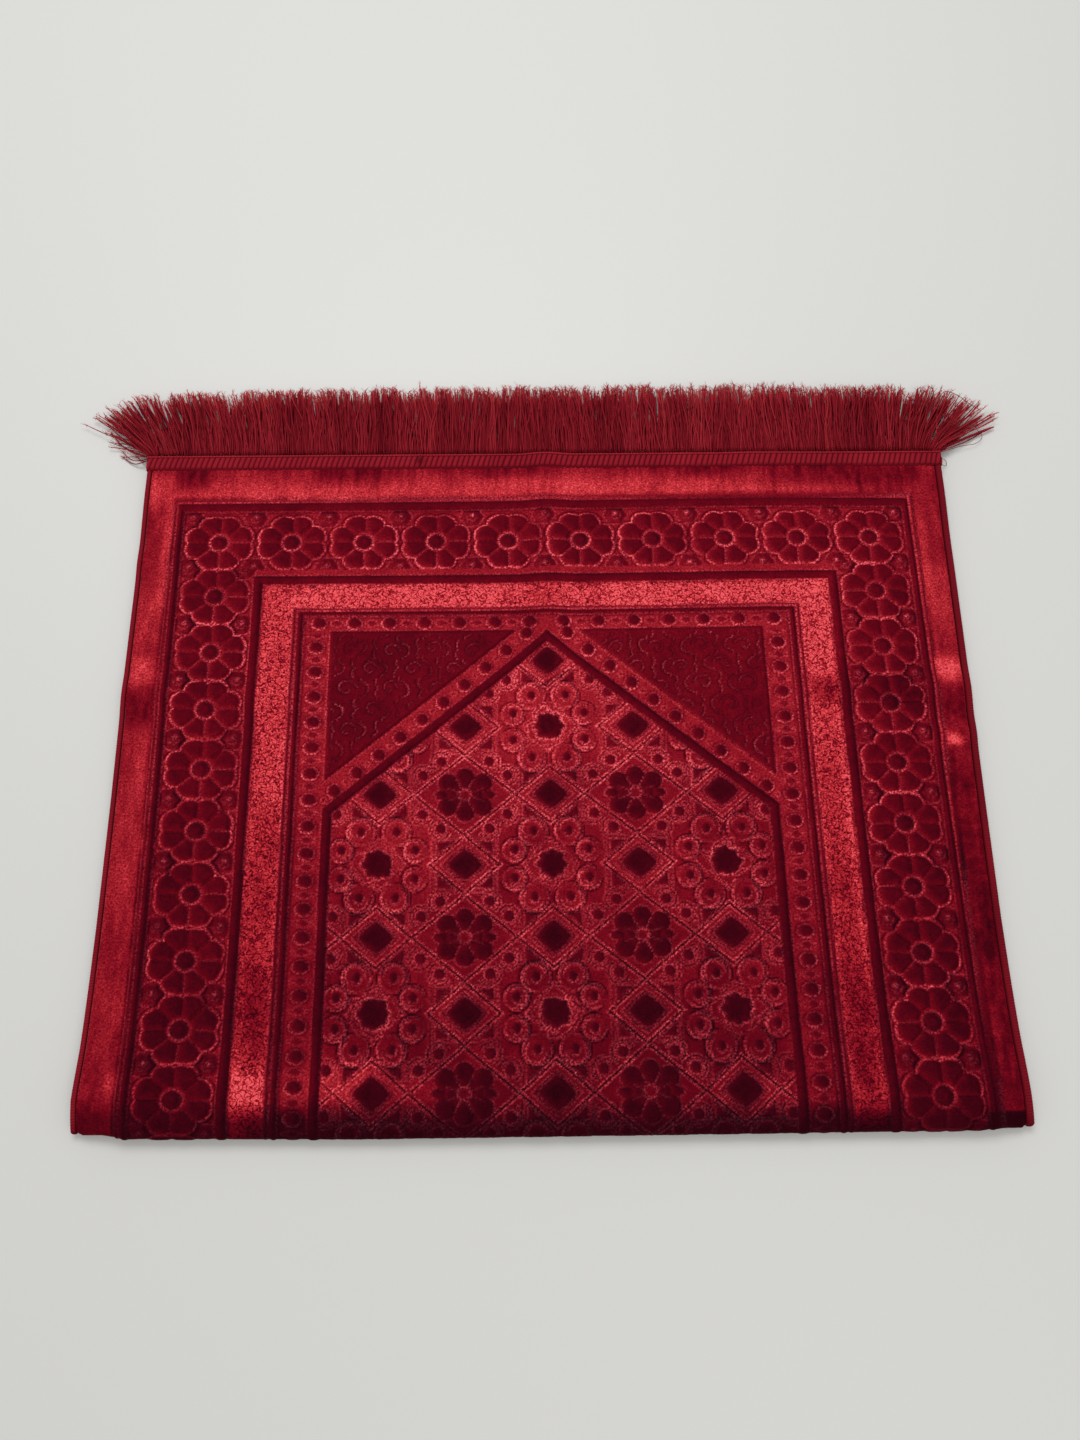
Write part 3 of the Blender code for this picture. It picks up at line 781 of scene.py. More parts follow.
    # painted shade: where the pile opens at the fold it is painted near black, with a near-black patch at the right
    # corner, and its painted highlights are dimmed there
    fold_shade = step(1.9, 0.0, v) * step(-5.0, -2.2, v)
    r.tone -= 0.60 * step(0.95, 0.65, v) * step(31.0, 31.3, u) * step(-5.0, -2.2, v)
    r.h += (4.4 + 0.4 * (r.h - 4.4) - r.h) * step(1.0, -0.2, v) * step(-4.0, -2.2, v)
    nose_shade = (1 - 0.45 * step(-20.0, -27.0, u) - 0.50 * step(23.6, 25.6, u)) * step(-5.0, -2.2, v)
    depth = 2.4 + 0.9 * (fbm(u * 0.45, v * 0.2, 95, 2) - 0.5)
    r.tone *= 1 - 0.90 * nose_shade * step(0.0, 1.0, (depth - v) / (depth + 0.1))
    r.painted_highlight *= 1 - 0.6 * fold_shade
    # painted highlights vary in strength from place to place
    r.painted_highlight *= (0.55 + 0.9 * fbm(u * 0.4, v * 0.4, 91)) * (0.45 + 1.1 * fbm(u * 1.5, v * 1.5, 93, 2))
    # a little unevenness in the pile's height
    r.h += 0.22 * (fbm(u * 0.8, v * 0.8, 63) - 0.5) + 0.16 * (lattice_noise(u * 6, v * 6, 64) - 0.5)
    return r


def snap(u, v, cell, relief):
    """Moves grid points that lie near a carved edge onto it, so that edges run true and not in steps."""
    e = relief.edge
    gv = np.gradient(e, axis=0) / np.maximum(np.gradient(v, axis=0), 1e-6)
    gu = np.gradient(e, axis=1) / np.maximum(np.gradient(u, axis=1), 1e-6)
    g = np.hypot(gu, gv)
    near = (np.abs(e) < 0.55 * cell) & (g > 0.5) & (g < 1.6)
    near[0, :] = near[-1, :] = near[:, 0] = near[:, -1] = False
    shift = np.where(near, -e / np.maximum(g, 0.5) ** 2, 0)
    du, dv = np.clip(shift * gu, -0.38 * cell, 0.38 * cell), np.clip(shift * gv, -0.38 * cell, 0.38 * cell)
    return u + du, v + dv


def pile_sheet(name, us, vs, cell, parts, material):
    """The pile side of the cloth over that grid, cut into strips of rows so that no mesh is too heavy."""
    u, v = np.meshgrid(us, vs)
    u, v = snap(u, v, cell, carve(u, v))
    r = carve(u, v)
    edge_u = np.minimum(u - us[0], us[-1] - u)
    h = np.where(edge_u < 0.05, 2.0, r.h) / 1000
    points = place(u / 100, along_of(v), h)
    points[..., 2] = np.maximum(points[..., 2], 0.0001)
    du, dv = np.gradient(points, axis=1), np.gradient(points, axis=0)
    normals = np.cross(du, dv)
    normals /= np.maximum(np.linalg.norm(normals, axis=-1, keepdims=True), 1e-12)
    # painted shade and painted highlight by slope: the pile leans up and to the right, so slopes that face that way are
    # painted darker and those that face away lighter
    hu = np.gradient(r.h, axis=1) / np.maximum(np.gradient(u, axis=1), 1e-6)
    hv = np.gradient(r.h, axis=0) / np.maximum(np.gradient(v, axis=0), 1e-6)
    slope_light = np.tanh((0.85 * hu + 0.45 * hv) / 2.6)
    tone = r.tone - 0.48 * r.shade
    tone = tone + slope_light * (0.04 + 0.19 * np.clip(tone, 0.1, 0.8))
    tone = np.clip(tone, 0.0, 1.0)
    look = np.stack([tone, np.clip(r.painted_highlight, 0, 1), r.curl, np.ones_like(tone)], axis=-1)
    cloth = np.stack([u, v, np.zeros_like(u)], axis=-1)
    rows = len(vs)
    cuts = [round(rows * k / parts) for k in range(parts + 1)]
    cuts[-1] = rows - 1
    made = []
    for k in range(parts):
        part = slice(cuts[k], cuts[k + 1] + 1)
        count = cuts[k + 1] + 1 - cuts[k]
        label = f"{name}_{k + 1}" if parts > 1 else name
        mesh = mesh_of(
            label,
            points[part].reshape(-1, 3),
            grid_quads(count, len(us)),
            (
                ("look", "FLOAT_COLOR", look[part].reshape(-1, 4)),
                ("cloth", "FLOAT_VECTOR", cloth[part].reshape(-1, 3)),
            ),
            normals=normals[part].reshape(-1, 3),
        )
        made.append(link(mesh, label, material))
    return made


# ====================================================================== materials
def new_material(name):
    material = bpy.data.materials.new(name)
    material.use_nodes = True
    tree = material.node_tree
    return material, tree, tree.nodes["Principled BSDF"]


def node(tree, kind, **settings):
    n = tree.nodes.new(kind)
    for key, value in settings.items():
        if key in n.inputs and not hasattr(n, key):
            n.inputs[key].default_value = value
        else:
            setattr(n, key, value)
    return n


def math_node(tree, operation, a, b=None, c=None, clamp=False):
    n = tree.nodes.new("ShaderNodeMath")
    n.operation = operation
    n.use_clamp = clamp
    for k, value in enumerate((a, b, c)):
        if value is None:
            continue
        if isinstance(value, (int, float)):
            n.inputs[k].default_value = value
        else:
            tree.links.new(value, n.inputs[k])
    return n.outputs[0]


def noise(tree, vector, scale, detail=2.0, roughness=0.5, distortion=0.0):
    n = tree.nodes.new("ShaderNodeTexNoise")
    n.inputs["Scale"].default_value = scale
    n.inputs["Detail"].default_value = detail
    n.inputs["Roughness"].default_value = roughness
    n.inputs["Distortion"].default_value = distortion
    tree.links.new(vector, n.inputs["Vector"])
    return n.outputs["Fac"]


def ramp(tree, value, stops):
    n = tree.nodes.new("ShaderNodeValToRGB")
    while len(n.color_ramp.elements) < len(stops):
        n.color_ramp.elements.new(0.5)
    for element, (at, colour) in zip(n.color_ramp.elements, stops):
        element.position = at
        element.color = (*colour, 1)
    tree.links.new(value, n.inputs[0])
    return n.outputs[0]


def map_range(tree, value, a, b, c, d):
    n = tree.nodes.new("ShaderNodeMapRange")
    n.inputs[1].default_value, n.inputs[2].default_value = a, b
    n.inputs[3].default_value, n.inputs[4].default_value = c, d
    tree.links.new(value, n.inputs[0])
    return n.outputs[0]


PILE_COLOURS = (
    (0.00, (0.020, 0.0002, 0.0030)),
    (0.15, (0.056, 0.0005, 0.0052)),
    (0.30, (0.130, 0.0011, 0.0075)),
    (0.45, (0.235, 0.0045, 0.0135)),
    (0.60, (0.360, 0.0135, 0.0235)),
    (0.75, (0.520, 0.0270, 0.0370)),
    (0.90, (0.720, 0.0510, 0.0640)),
    (1.00, (0.880, 0.1050, 0.1220)),
)


def velvet():
    material, tree, shader = new_material("carved velvet pile")
    look = tree.nodes.new("ShaderNodeAttribute")
    look.attribute_name = "look"
    cloth = tree.nodes.new("ShaderNodeAttribute")
    cloth.attribute_name = "cloth"
    split = tree.nodes.new("ShaderNodeSeparateColor")
    tree.links.new(look.outputs["Color"], split.inputs[0])
    tone, painted_highlight, curl = split.outputs[0], split.outputs[1], split.outputs[2]
    at = cloth.outputs["Vector"]
    fine = noise(tree, at, 13.0, 2.0, 0.6)
    grain = noise(tree, at, 6.0, 2.0, 0.55)
    cloud = noise(tree, at, 1.6, 3.0, 0.6)
    worm = noise(tree, at, 2.7, 0.6, 0.5, 0.8)
    worm = math_node(tree, "ABSOLUTE", math_node(tree, "SUBTRACT", worm, 0.5))
    worm = map_range(tree, worm, 0.030, 0.080, 1.0, 0.0)
    worm = math_node(tree, "MULTIPLY", worm, curl)
    worm = math_node(tree, "MULTIPLY", worm, map_range(tree, tone, 0.40, 0.85, 0.45, 1.0))
    # lit edges are made of separate tufts, so they break up
    broken = map_range(tree, grain, 0.40, 0.60, 0.10, 1.35)
    lit = math_node(tree, "MULTIPLY", painted_highlight, broken)
    value = math_node(tree, "ADD", tone, math_node(tree, "MULTIPLY", lit, 0.66))
    # brushed pile is coarser to look at than pile seen from above
    coarse = map_range(tree, tone, 0.25, 0.70, 0.20, 0.95)
    coarse = math_node(tree, "MULTIPLY", coarse, math_node(tree, "MULTIPLY_ADD", curl, 0.35, 1.0))
    speck = math_node(tree, "MULTIPLY", math_node(tree, "SUBTRACT", grain, 0.5), coarse)
    value = math_node(tree, "ADD", value, speck)
    coarse = map_range(tree, tone, 0.25, 0.70, 0.16, 0.60)
    speck = math_node(tree, "MULTIPLY", math_node(tree, "SUBTRACT", fine, 0.5), coarse)
    value = math_node(tree, "ADD", value, speck)
    patch = math_node(tree, "MULTIPLY", math_node(tree, "SUBTRACT", cloud, 0.5), 0.16)
    value = math_node(tree, "ADD", value, patch)
    value = math_node(tree, "SUBTRACT", value, math_node(tree, "MULTIPLY", worm, 0.46), clamp=True)
    # the tips of lit tufts are pinker than the pile round them
    pink = tree.nodes.new("ShaderNodeMix")
    pink.data_type, pink.blend_type = "RGBA", "ADD"
    pink.inputs[7].default_value = (0.020, 0.030, 0.040, 1)
    tree.links.new(lit, pink.inputs[0])
    tree.links.new(ramp(tree, value, PILE_COLOURS), pink.inputs[6])
    tree.links.new(pink.outputs[2], shader.inputs["Base Color"])
    shader.inputs["Roughness"].default_value = 0.72
    shader.inputs["Specular IOR Level"].default_value = 0.02
    shader.inputs["Sheen Weight"].default_value = 0.14
    shader.inputs["Sheen Roughness"].default_value = 0.32
    shader.inputs["Sheen Tint"].default_value = (1.0, 0.03, 0.07, 1)
    height = math_node(tree, "ADD", math_node(tree, "MULTIPLY", fine, 0.6), math_node(tree, "MULTIPLY", grain, 0.6))
    height = math_node(tree, "SUBTRACT", height, math_node(tree, "MULTIPLY", worm, 0.9))
    bump = tree.nodes.new("ShaderNodeBump")
    bump.inputs["Strength"].default_value = 0.55
    bump.inputs["Distance"].default_value = 0.0006
    tree.links.new(height, bump.inputs["Height"])
    tree.links.new(bump.outputs["Normal"], shader.inputs["Normal"])
    return material


def woven_back():
    material, tree, shader = new_material("woven backing")
    cloth = tree.nodes.new("ShaderNodeAttribute")
    cloth.attribute_name = "cloth"
    waves = []
    for direction in ("X", "Y"):
        w = tree.nodes.new("ShaderNodeTexWave")
        w.wave_type, w.bands_direction, w.wave_profile = "BANDS", direction, "SIN"
        w.inputs["Scale"].default_value = 2.4
        w.inputs["Distortion"].default_value = 0.4
        tree.links.new(cloth.outputs["Vector"], w.inputs["Vector"])
        waves.append(w.outputs["Fac"])
    weave = math_node(tree, "MULTIPLY", waves[0], waves[1])
    colour = ramp(tree, weave, ((0.0, (0.09, 0.004, 0.010)), (1.0, (0.30, 0.035, 0.045))))
    tree.links.new(colour, shader.inputs["Base Color"])
    shader.inputs["Roughness"].default_value = 0.9
    bump = tree.nodes.new("ShaderNodeBump")
    bump.inputs["Strength"].default_value = 0.5
    bump.inputs["Distance"].default_value = 0.0004
    tree.links.new(weave, bump.inputs["Height"])
    tree.links.new(bump.outputs["Normal"], shader.inputs["Normal"])
    return material


def yarn(name, stops, twist, roughness=0.6, sheen=0.10):
    """look.r is the tone, look.g the yarn's own shade, and cloth holds (turns of twist, way round, along)."""
    material, tree, shader = new_material(name)
    look = tree.nodes.new("ShaderNodeAttribute")
    look.attribute_name = "look"
    cloth = tree.nodes.new("ShaderNodeAttribute")
    cloth.attribute_name = "cloth"
    split = tree.nodes.new("ShaderNodeSeparateColor")
    tree.links.new(look.outputs["Color"], split.inputs[0])
    way = tree.nodes.new("ShaderNodeSeparateXYZ")
    tree.links.new(cloth.outputs["Vector"], way.inputs[0])
    turn = math_node(tree, "ADD", way.outputs[0], way.outputs[1])
    ply = math_node(tree, "SINE", math_node(tree, "MULTIPLY", turn, 2 * math.pi))
    fuzz = noise(tree, cloth.outputs["Vector"], 9.0, 2.0)
    value = math_node(tree, "ADD", split.outputs[0], math_node(tree, "MULTIPLY", split.outputs[1], 0.30))
    value = math_node(tree, "ADD", value, math_node(tree, "MULTIPLY", ply, 0.10 * twist))
    value = math_node(tree, "ADD", value, math_node(tree, "MULTIPLY", math_node(tree, "SUBTRACT", fuzz, 0.5), 0.25), clamp=True)
    tree.links.new(ramp(tree, value, stops), shader.inputs["Base Color"])
    shader.inputs["Roughness"].default_value = roughness
    shader.inputs["Specular IOR Level"].default_value = 0.04
    shader.inputs["Sheen Weight"].default_value = sheen
    shader.inputs["Sheen Roughness"].default_value = 0.4
    shader.inputs["Sheen Tint"].default_value = (1.0, 0.08, 0.10, 1)
    bump = tree.nodes.new("ShaderNodeBump")
    bump.inputs["Strength"].default_value = 0.6 * twist
    bump.inputs["Distance"].default_value = 0.0003
    tree.links.new(ply, bump.inputs["Height"])
    tree.links.new(bump.outputs["Normal"], shader.inputs["Normal"])
    return material


VELVET = velvet()
BACKING = woven_back()
YARN_COLOURS = (
    (0.00, (0.030, 0.0006, 0.0030)),
    (0.30, (0.120, 0.0025, 0.0080)),
    (0.55, (0.250, 0.0080, 0.0180)),
    (0.80, (0.420, 0.0250, 0.0350)),
    (1.00, (0.640, 0.0750, 0.0800)),
)
FRINGE_YARN = yarn("fringe yarn", YARN_COLOURS, 1.0)
STITCH_YARN = yarn("heading yarn", YARN_COLOURS, 0.5, 0.7)
EDGE_YARN = yarn("binding yarn", YARN_COLOURS, 0.4, 0.7)

# ====================================================================== the cloth
CELL = 0.126
half = spaced(
    (0.0, CELL), (17.1, CELL), (18.4, CELL), (20.42, 0.1), (21.44, CELL * 1.1), (24.0, 0.1), (24.95, CELL),
    (31.2, 0.095), (32.3, 0.3), (34.0, 0.22), (34.47, 0.0),
)
us = np.concatenate([-half[:0:-1], half])
us_fine = us.copy()
us_fine[0] = -CLOTH_LEFT * 100
us_fine[-1] = CLOTH_RIGHT * 100
vs = spaced(
    (-2.2, CELL), (40.7, 0.1), (41.5, CELL * 1.1), (43.6, 0.1), (44.55, CELL), (50.4, 0.1), (51.7, 0.3),
    (V_TOP - 0.05, 0.0),
)
parts = 3
upper = pile_sheet("pile_upper", us_fine, vs, CELL, parts, VELVET)
coarse = spaced((-CLOTH_LEFT * 100, 0.36), (CLOTH_RIGHT * 100, 0.0))
under = pile_sheet("pile_under", coarse, spaced((V_LOW + 0.05, 0.36), (-2.2, 0.0)), 0.36, 1, VELVET)

# the woven ground that carries the pile: one closed, folded sheet
bu = spaced((-CLOTH_LEFT + 0.0002, 0.012), (CLOTH_RIGHT - 0.0002, 0.0))
ba = np.concatenate([
    np.linspace(UNDER_END + 0.0003, -0.010, 60), np.linspace(-0.009, 0.010, 40), np.linspace(0.0115, END - 0.0003, 90),
])
gx, ga = np.meshgrid(bu, ba)
top, bottom = place(gx, ga, 0.0021), place(gx, ga, 0.0)
n_r, n_c = gx.shape
quads_top = grid_quads(n_r, n_c)
quads_bottom = quads_top[:, ::-1] + n_r * n_c
rim_ids = np.concatenate([
    np.arange(n_c), np.arange(1, n_r) * n_c + n_c - 1,
    (n_r - 1) * n_c + np.arange(n_c - 2, -1, -1), np.arange(n_r - 2, 0, -1) * n_c,
])
nxt = np.roll(rim_ids, -1)
walls = np.stack([nxt, rim_ids, rim_ids + n_r * n_c, nxt + n_r * n_c], axis=-1)
pattern = np.stack([gx * 100, ga * 100, np.zeros_like(gx)], axis=-1).reshape(-1, 3)
mesh = mesh_of(
    "rug_ground",
    np.concatenate([top.reshape(-1, 3), bottom.reshape(-1, 3)]),
    np.concatenate([quads_top, quads_bottom, walls]),
    (("cloth", "FLOAT_VECTOR", np.concatenate([pattern, pattern])),),
)
mesh.set_sharp_from_angle(angle=math.radians(50))
ground = link(mesh, "rug_ground", BACKING)


# ====================================================================== tubes of yarn
def tubes(name, lines, radii, sides, tone, own, turns, material):
    """lines is (n, k, 3), radii and tone (n, k), own (n,). Closed to a point at both ends by their radii."""
    n, k, _ = lines.shape
    tangent = np.gradient(lines, axis=1)
    tangent /= np.maximum(np.linalg.norm(tangent, axis=-1, keepdims=True), 1e-12)
    up = np.zeros_like(tangent)
    up[..., 2] = 1.0
    flat = np.abs(tangent[..., 2]) > 0.95
    up[flat] = (1.0, 0.0, 0.0)
    across = np.cross(tangent, up)
    across /= np.maximum(np.linalg.norm(across, axis=-1, keepdims=True), 1e-12)
    lift = np.cross(across, tangent)
    angle = np.arange(sides) * 2 * math.pi / sides
    ring = (
        across[:, :, None, :] * np.cos(angle)[None, None, :, None]
        + lift[:, :, None, :] * np.sin(angle)[None, None, :, None]
    )
    points = lines[:, :, None, :] + ring * radii[:, :, None, None]
    quads = grid_quads(k, sides, wrap=True)
    quads = quads[:, ::-1]
    all_quads = (quads[None] + (np.arange(n) * k * sides)[:, None, None]).reshape(-1, 4)
    run = np.concatenate([np.zeros((n, 1)), np.cumsum(np.linalg.norm(np.diff(lines, axis=1), axis=-1), axis=1)], axis=1)
    look = np.zeros((n, k, sides, 4))
    look[..., 0], look[..., 1], look[..., 3] = tone[:, :, None], own[:, None, None], 1
    cloth = np.zeros((n, k, sides, 3))
    cloth[..., 0] = (run * turns)[:, :, None] + own[:, None, None] * 7
    cloth[..., 1] = (angle / (2 * math.pi))[None, None, :]
    cloth[..., 2] = own[:, None, None] * 31 + run[:, :, None] * 40
    mesh = mesh_of(
        name, points.reshape(-1, 3), all_quads,
        (("look", "FLOAT_COLOR", look.reshape(-1, 4)), ("cloth", "FLOAT_VECTOR", cloth.reshape(-1, 3))),
    )
    return link(mesh, name, material)


def wander(x, seed, scale):
    """Smooth noise along one line, from -1 to 1."""
    return 2 * lattice_noise(np.asarray(x) / scale, np.full(np.shape(x), 0.5 + seed), seed) - 1


# where the yarns part: (x, half-width, how much shorter there)
PARTINGS = (
    (-0.322, 0.004, 0.10), (-0.272, 0.007, 0.16), (-0.199, 0.007, 0.12), (-0.160, 0.004, 0.07), (-0.118, 0.005, 0.09),
    (-0.040, 0.005, 0.06), (0.051, 0.004, 0.07), (0.135, 0.004, 0.08), (0.187, 0.006, 0.14), (0.245, 0.005, 0.06),
    (0.318, 0.004, 0.14),
)


# how far sideways the yarns' ends have been swept: (x, reach sideways), cm
SWEPT = (
    (-35.0, -5.0), (-34.4, -4.0), (-33.4, -2.9), (-32.0, -2.2), (-29.5, -1.5), (-22.0, -0.85), (-10.0, -0.35),
    (0.0, 0.0), (19.0, 0.0), (26.0, 0.3), (30.0, 0.9), (32.4, 1.8), (33.8, 3.0), (34.5, 4.4), (35.0, 5.7),
)
SWEPT_X, SWEPT_BY = np.array(SWEPT).T / 100


def fringe(name, upper_layer, layers, seed, hairs):
    """layers are (how many yarns, segments, sides, radius, height, tone, waviness); the lower layers' darker tone is
    painted shade.
    """
    rng = np.random.default_rng(seed)
    made, ends = [], []
    for number, (count, segments, sides, radius, lift, shade, wavy) in enumerate(layers):
        t = np.linspace(0, 1, segments + 1)[None, :]
        base = (np.arange(count) + 0.5) / count * 2 - 1
        base = np.clip(base + rng.uniform(-0.45, 0.45, count) / count * 2, -1, 1)
        x0 = base * (WIDTH / 2 - 0.0012)
        # tufts lean together; single yarns stray from their tuft
        lean = 0.0052 * wander(x0, 3 + seed, 0.031)
        lean = lean + 0.0048 * wavy**0.5 * wander(x0, 5 + seed + number, 0.009)
        lean = lean + rng.normal(0, 0.0010 + 0.0034 * wavy, count)
        swept = np.interp(x0, SWEPT_X, SWEPT_BY)
        fan = np.clip(np.abs(swept) / 0.055, 0, 1)
        swept = swept * np.clip(1 + rng.normal(0, 0.05 + 0.13 * wavy, count), 0.4, 1.25)
        length = FRINGE_LONG * (0.985 + 0.030 * wander(x0, 8 + seed, 0.022) + 0.028 * wander(x0, 9 + seed, 0.006))
        length *= 1 + rng.normal(0, 0.024, count)
        for at, wide, deep in PARTINGS:
            length *= 1 - deep * np.exp(-(((x0 - at) / wide) ** 2))
        if upper_layer and number == 0:
            length *= 0.94
        length *= 1 + 0.05 * fan
        wave = rng.uniform(0, 2 * math.pi, count)[:, None]
        beat = rng.uniform(4.0, 9.0, count)[:, None]
        swing = (0.0005 + 0.0013 * rng.random(count))[:, None] * (0.4 + 1.5 * wavy)
        bow = (0.0022 * wander(x0, 15 + seed + number, 0.012))[:, None]
        x = x0[:, None] + (lean * (1 - 0.7 * fan))[:, None] * t**1.25 + swept[:, None] * t**1.2
        x = x + swing * np.sin(wave + t * beat) * t**0.7 * (1.25 - 0.45 * t) + bow * np.sin(t * math.pi * 1.1) * t
        reach = np.sqrt(np.clip(length**2 - swept**2, 0.02**2, 1))
        y = REACH - 0.0015 + reach[:, None] * t * (1 - 0.06 * fan[:, None] * t)
        if upper_layer:
            z = 0.0066 * (1 - step(0, 1, t * 1.25)) + lift
            z = z + 0.0007 * np.sin(wave * 2 + t * 5) + (0.0006 + 0.0008 * wavy) * rng.normal(0, 1, count)[:, None] * t
            z = np.maximum(z, radius * 1.12 + 0.0001)
        else:
            z = lift - 0.0007 * t + 0 * x + 0.0002 * np.sin(wave * 2 + t * 5)
            z = np.maximum(z, 0.0007)
        z = np.broadcast_to(z, x.shape)
        lines = np.stack([x, y, z], axis=-1) + OFF
        width = radius * (0.88 + 0.24 * rng.random(count))[:, None] * (1 - 0.10 * t)
        width = width * step(0, 0.02, t + 0.005) * (1 - 0.5 * step(0.9, 1.0, t))
        own = rng.random(count)
        # each layer's tone, darker for the lower layers as painted shade, rises toward the tip and drops at the root
        tone = shade + 0.07 * t + 0.24 * step(0.78, 1.0, t) + 0.07 * wander(x0, 12 + seed, 0.012)[:, None]
        tone = tone - 0.09 * step(0.09, 0.0, t)
        if number == 2:
            # short yarns spread low at the two corners
            n, s = 56, segments
            which = np.arange(n) % 2 == 0
            angle = np.radians(np.where(which, rng.uniform(14, 66, n), rng.uniform(30, 68, n)))
            far = np.where(which, np.interp(np.degrees(angle), (14, 35, 66), (0.026, 0.058, 0.068)), 0.060)
            far = far * rng.uniform(0.72, 1.05, n)
            out = np.where(which, -1.0, 1.0)
            bx = out * (WIDTH / 2 - 0.001 - rng.uniform(0, 0.007, n))
            curl = rng.normal(0, 0.0035, n)[:, None] * np.sin(t * math.pi) + rng.normal(0, 0.004, n)[:, None] * t**2
            cx = bx[:, None] + (out * np.cos(angle) * far)[:, None] * t - (out * np.sin(angle))[:, None] * curl
            cy = REACH - 0.002 + (np.sin(angle) * far)[:, None] * t + np.cos(angle)[:, None] * curl
            cz = 0.0062 * (1 - step(0, 1, t * 1.3)) + rng.uniform(0.0008, 0.0050, n)[:, None]
            x, y = np.concatenate([x, cx]), np.concatenate([y, cy])
            z = np.concatenate([z, np.broadcast_to(cz, cx.shape)])
            lines = np.stack([x, y, z], axis=-1) + OFF
            width = np.concatenate([width, width[rng.integers(0, count, n)]])
            tone = np.concatenate([tone, tone[rng.integers(0, count, n)]])
            own = np.concatenate([own, rng.random(n)])
        label = name if number == 0 else f"{name}_{number + 1}"
        made.append(tubes(label, lines, width + 0 * x, sides, tone + 0 * x, own, 420.0, FRINGE_YARN))
        if number:
            ends.append((lines, own))
    # each yarn's end comes apart into fine hairs
    if hairs:
        lines_end = np.concatenate([l[:, [-3, -1]] for l, _ in ends])
        own = np.concatenate([o for _, o in ends])
        tip, way = lines_end[:, 1], lines_end[:, 1] - lines_end[:, 0]
        way /= np.linalg.norm(way, axis=-1, keepdims=True)
        tips, ways, owns = np.repeat(tip, hairs, axis=0), np.repeat(way, hairs, axis=0), np.repeat(own, hairs)
        n = len(tips)
        ways = ways + rng.normal(0, 1, (n, 3)) * (0.55, 0.20, 0.18)
        ways[:, 1] = np.maximum(ways[:, 1], 0.15)
        ways /= np.linalg.norm(ways, axis=-1, keepdims=True)
        long = rng.uniform(0.0016, 0.0050, n)
        k = np.linspace(0, 1, 4)[None, :, None]
        bend = rng.normal(0, 0.0009, (n, 1, 3)) * (1.0, 0.5, 0.5)
        hair = tips[:, None, :] + ways[:, None, :] * ((long + 0.0018)[:, None, None] * k - 0.0018) + bend * k**2
        hair[..., 2] = np.maximum(hair[..., 2], 0.0008)
        thin = rng.uniform(0.00020, 0.00036, n)[:, None] * (1 - 0.5 * k[..., 0])
        look = 0.66 + 0.25 * k[..., 0] + 0.12 * rng.normal(0, 1, n)[:, None]
        made.append(tubes(name + "_tips", hair, thin, 3, look, owns, 0.0, FRINGE_YARN))
    return made


def curve_through(points, count):
    """A smooth line through those points, count points long."""
    p = np.array(points, float)
    p = np.concatenate([2 * p[:1] - p[1:2], p, 2 * p[-1:] - p[-2:-1]])
    n = len(p) - 3
    k = np.linspace(0, n - 1e-6, count)
    i, t = np.floor(k).astype(int), (k - np.floor(k))[:, None]
    a, b, c, d = p[i], p[i + 1], p[i + 2], p[i + 3]
    return 0.5 * (2 * b + (c - a) * t + (2 * a - 5 * b + 4 * c - d) * t**2 + (3 * b - a - 3 * c + d) * t**3)


fringe_upper = fringe("fringe_yarns", True, (
    (360, 8, 4, 0.00125, 0.0022, 0.20, 0.05),
    (700, 11, 5, 0.00052, 0.0040, 0.30, 0.5),
    (620, 13, 4, 0.00050, 0.0052, 0.38, 1.0),
), 11, 3)
fringe_under = fringe("fringe_yarns_under", False, ((420, 6, 4, 0.00070, 0.0019, 0.30, 0.3),), 29, 0)

# a few yarns have worked loose at the corners, in cm from the middle of the fold
LOOSE = (
    (0.00026, ((35.6, 61.5, 0.9), (36.4, 62.4, 0.8), (37.5, 62.1, 0.7), (38.6, 61.3, 0.5), (39.7, 60.7, 0.3))),
    (0.00026, ((35.3, 56.3, 0.5), (37.4, 57.0, 0.4), (38.7, 57.3, 0.3), (39.4, 58.0, 0.3), (38.8, 58.7, 0.6))),
    (0.00024, ((35.5, 55.9, 0.2), (35.9, 55.6, 0.2), (35.8, 55.1, 0.2), (35.4, 55.3, 0.2))),
    (0.00030, ((-35.0, 57.2, 0.8), (-36.4, 57.2, 0.6), (-38.0, 57.6, 0.4), (-39.3, 58.2, 0.2))),
    (0.00030, ((-26.3, 61.4, 0.5), (-26.4, 62.4, 0.5), (-26.6, 63.4, 0.4))),
    (0.00030, ((-21.6, 61.2, 0.5), (-21.7, 62.2, 0.6), (-21.3, 62.9, 0.4))),
    (0.00030, ((-11.2, 61.6, 0.5), (-11.1, 62.6, 0.6), (-11.3, 63.5, 0.4))),
    (0.00028, ((9.0, 61.8, 0.5), (9.3, 62.7, 0.5), (9.1, 63.2, 0.4))),
    (0.00028, ((22.6, 61.5, 0.5), (22.4, 62.4, 0.5), (22.8, 63.2, 0.4))),
)
lines = np.stack([curve_through(p, 22) / 100 + OFF for _, p in LOOSE])
radii = np.stack([np.full(22, r) * np.concatenate([[0.3], np.ones(20), [0.3]]) for r, _ in LOOSE])
loose = tubes("loose_yarns", lines, radii, 6, np.full(radii.shape, 0.34), np.linspace(0.2, 0.8, len(LOOSE)), 500.0, FRINGE_YARN)
fringe_upper.append(loose)


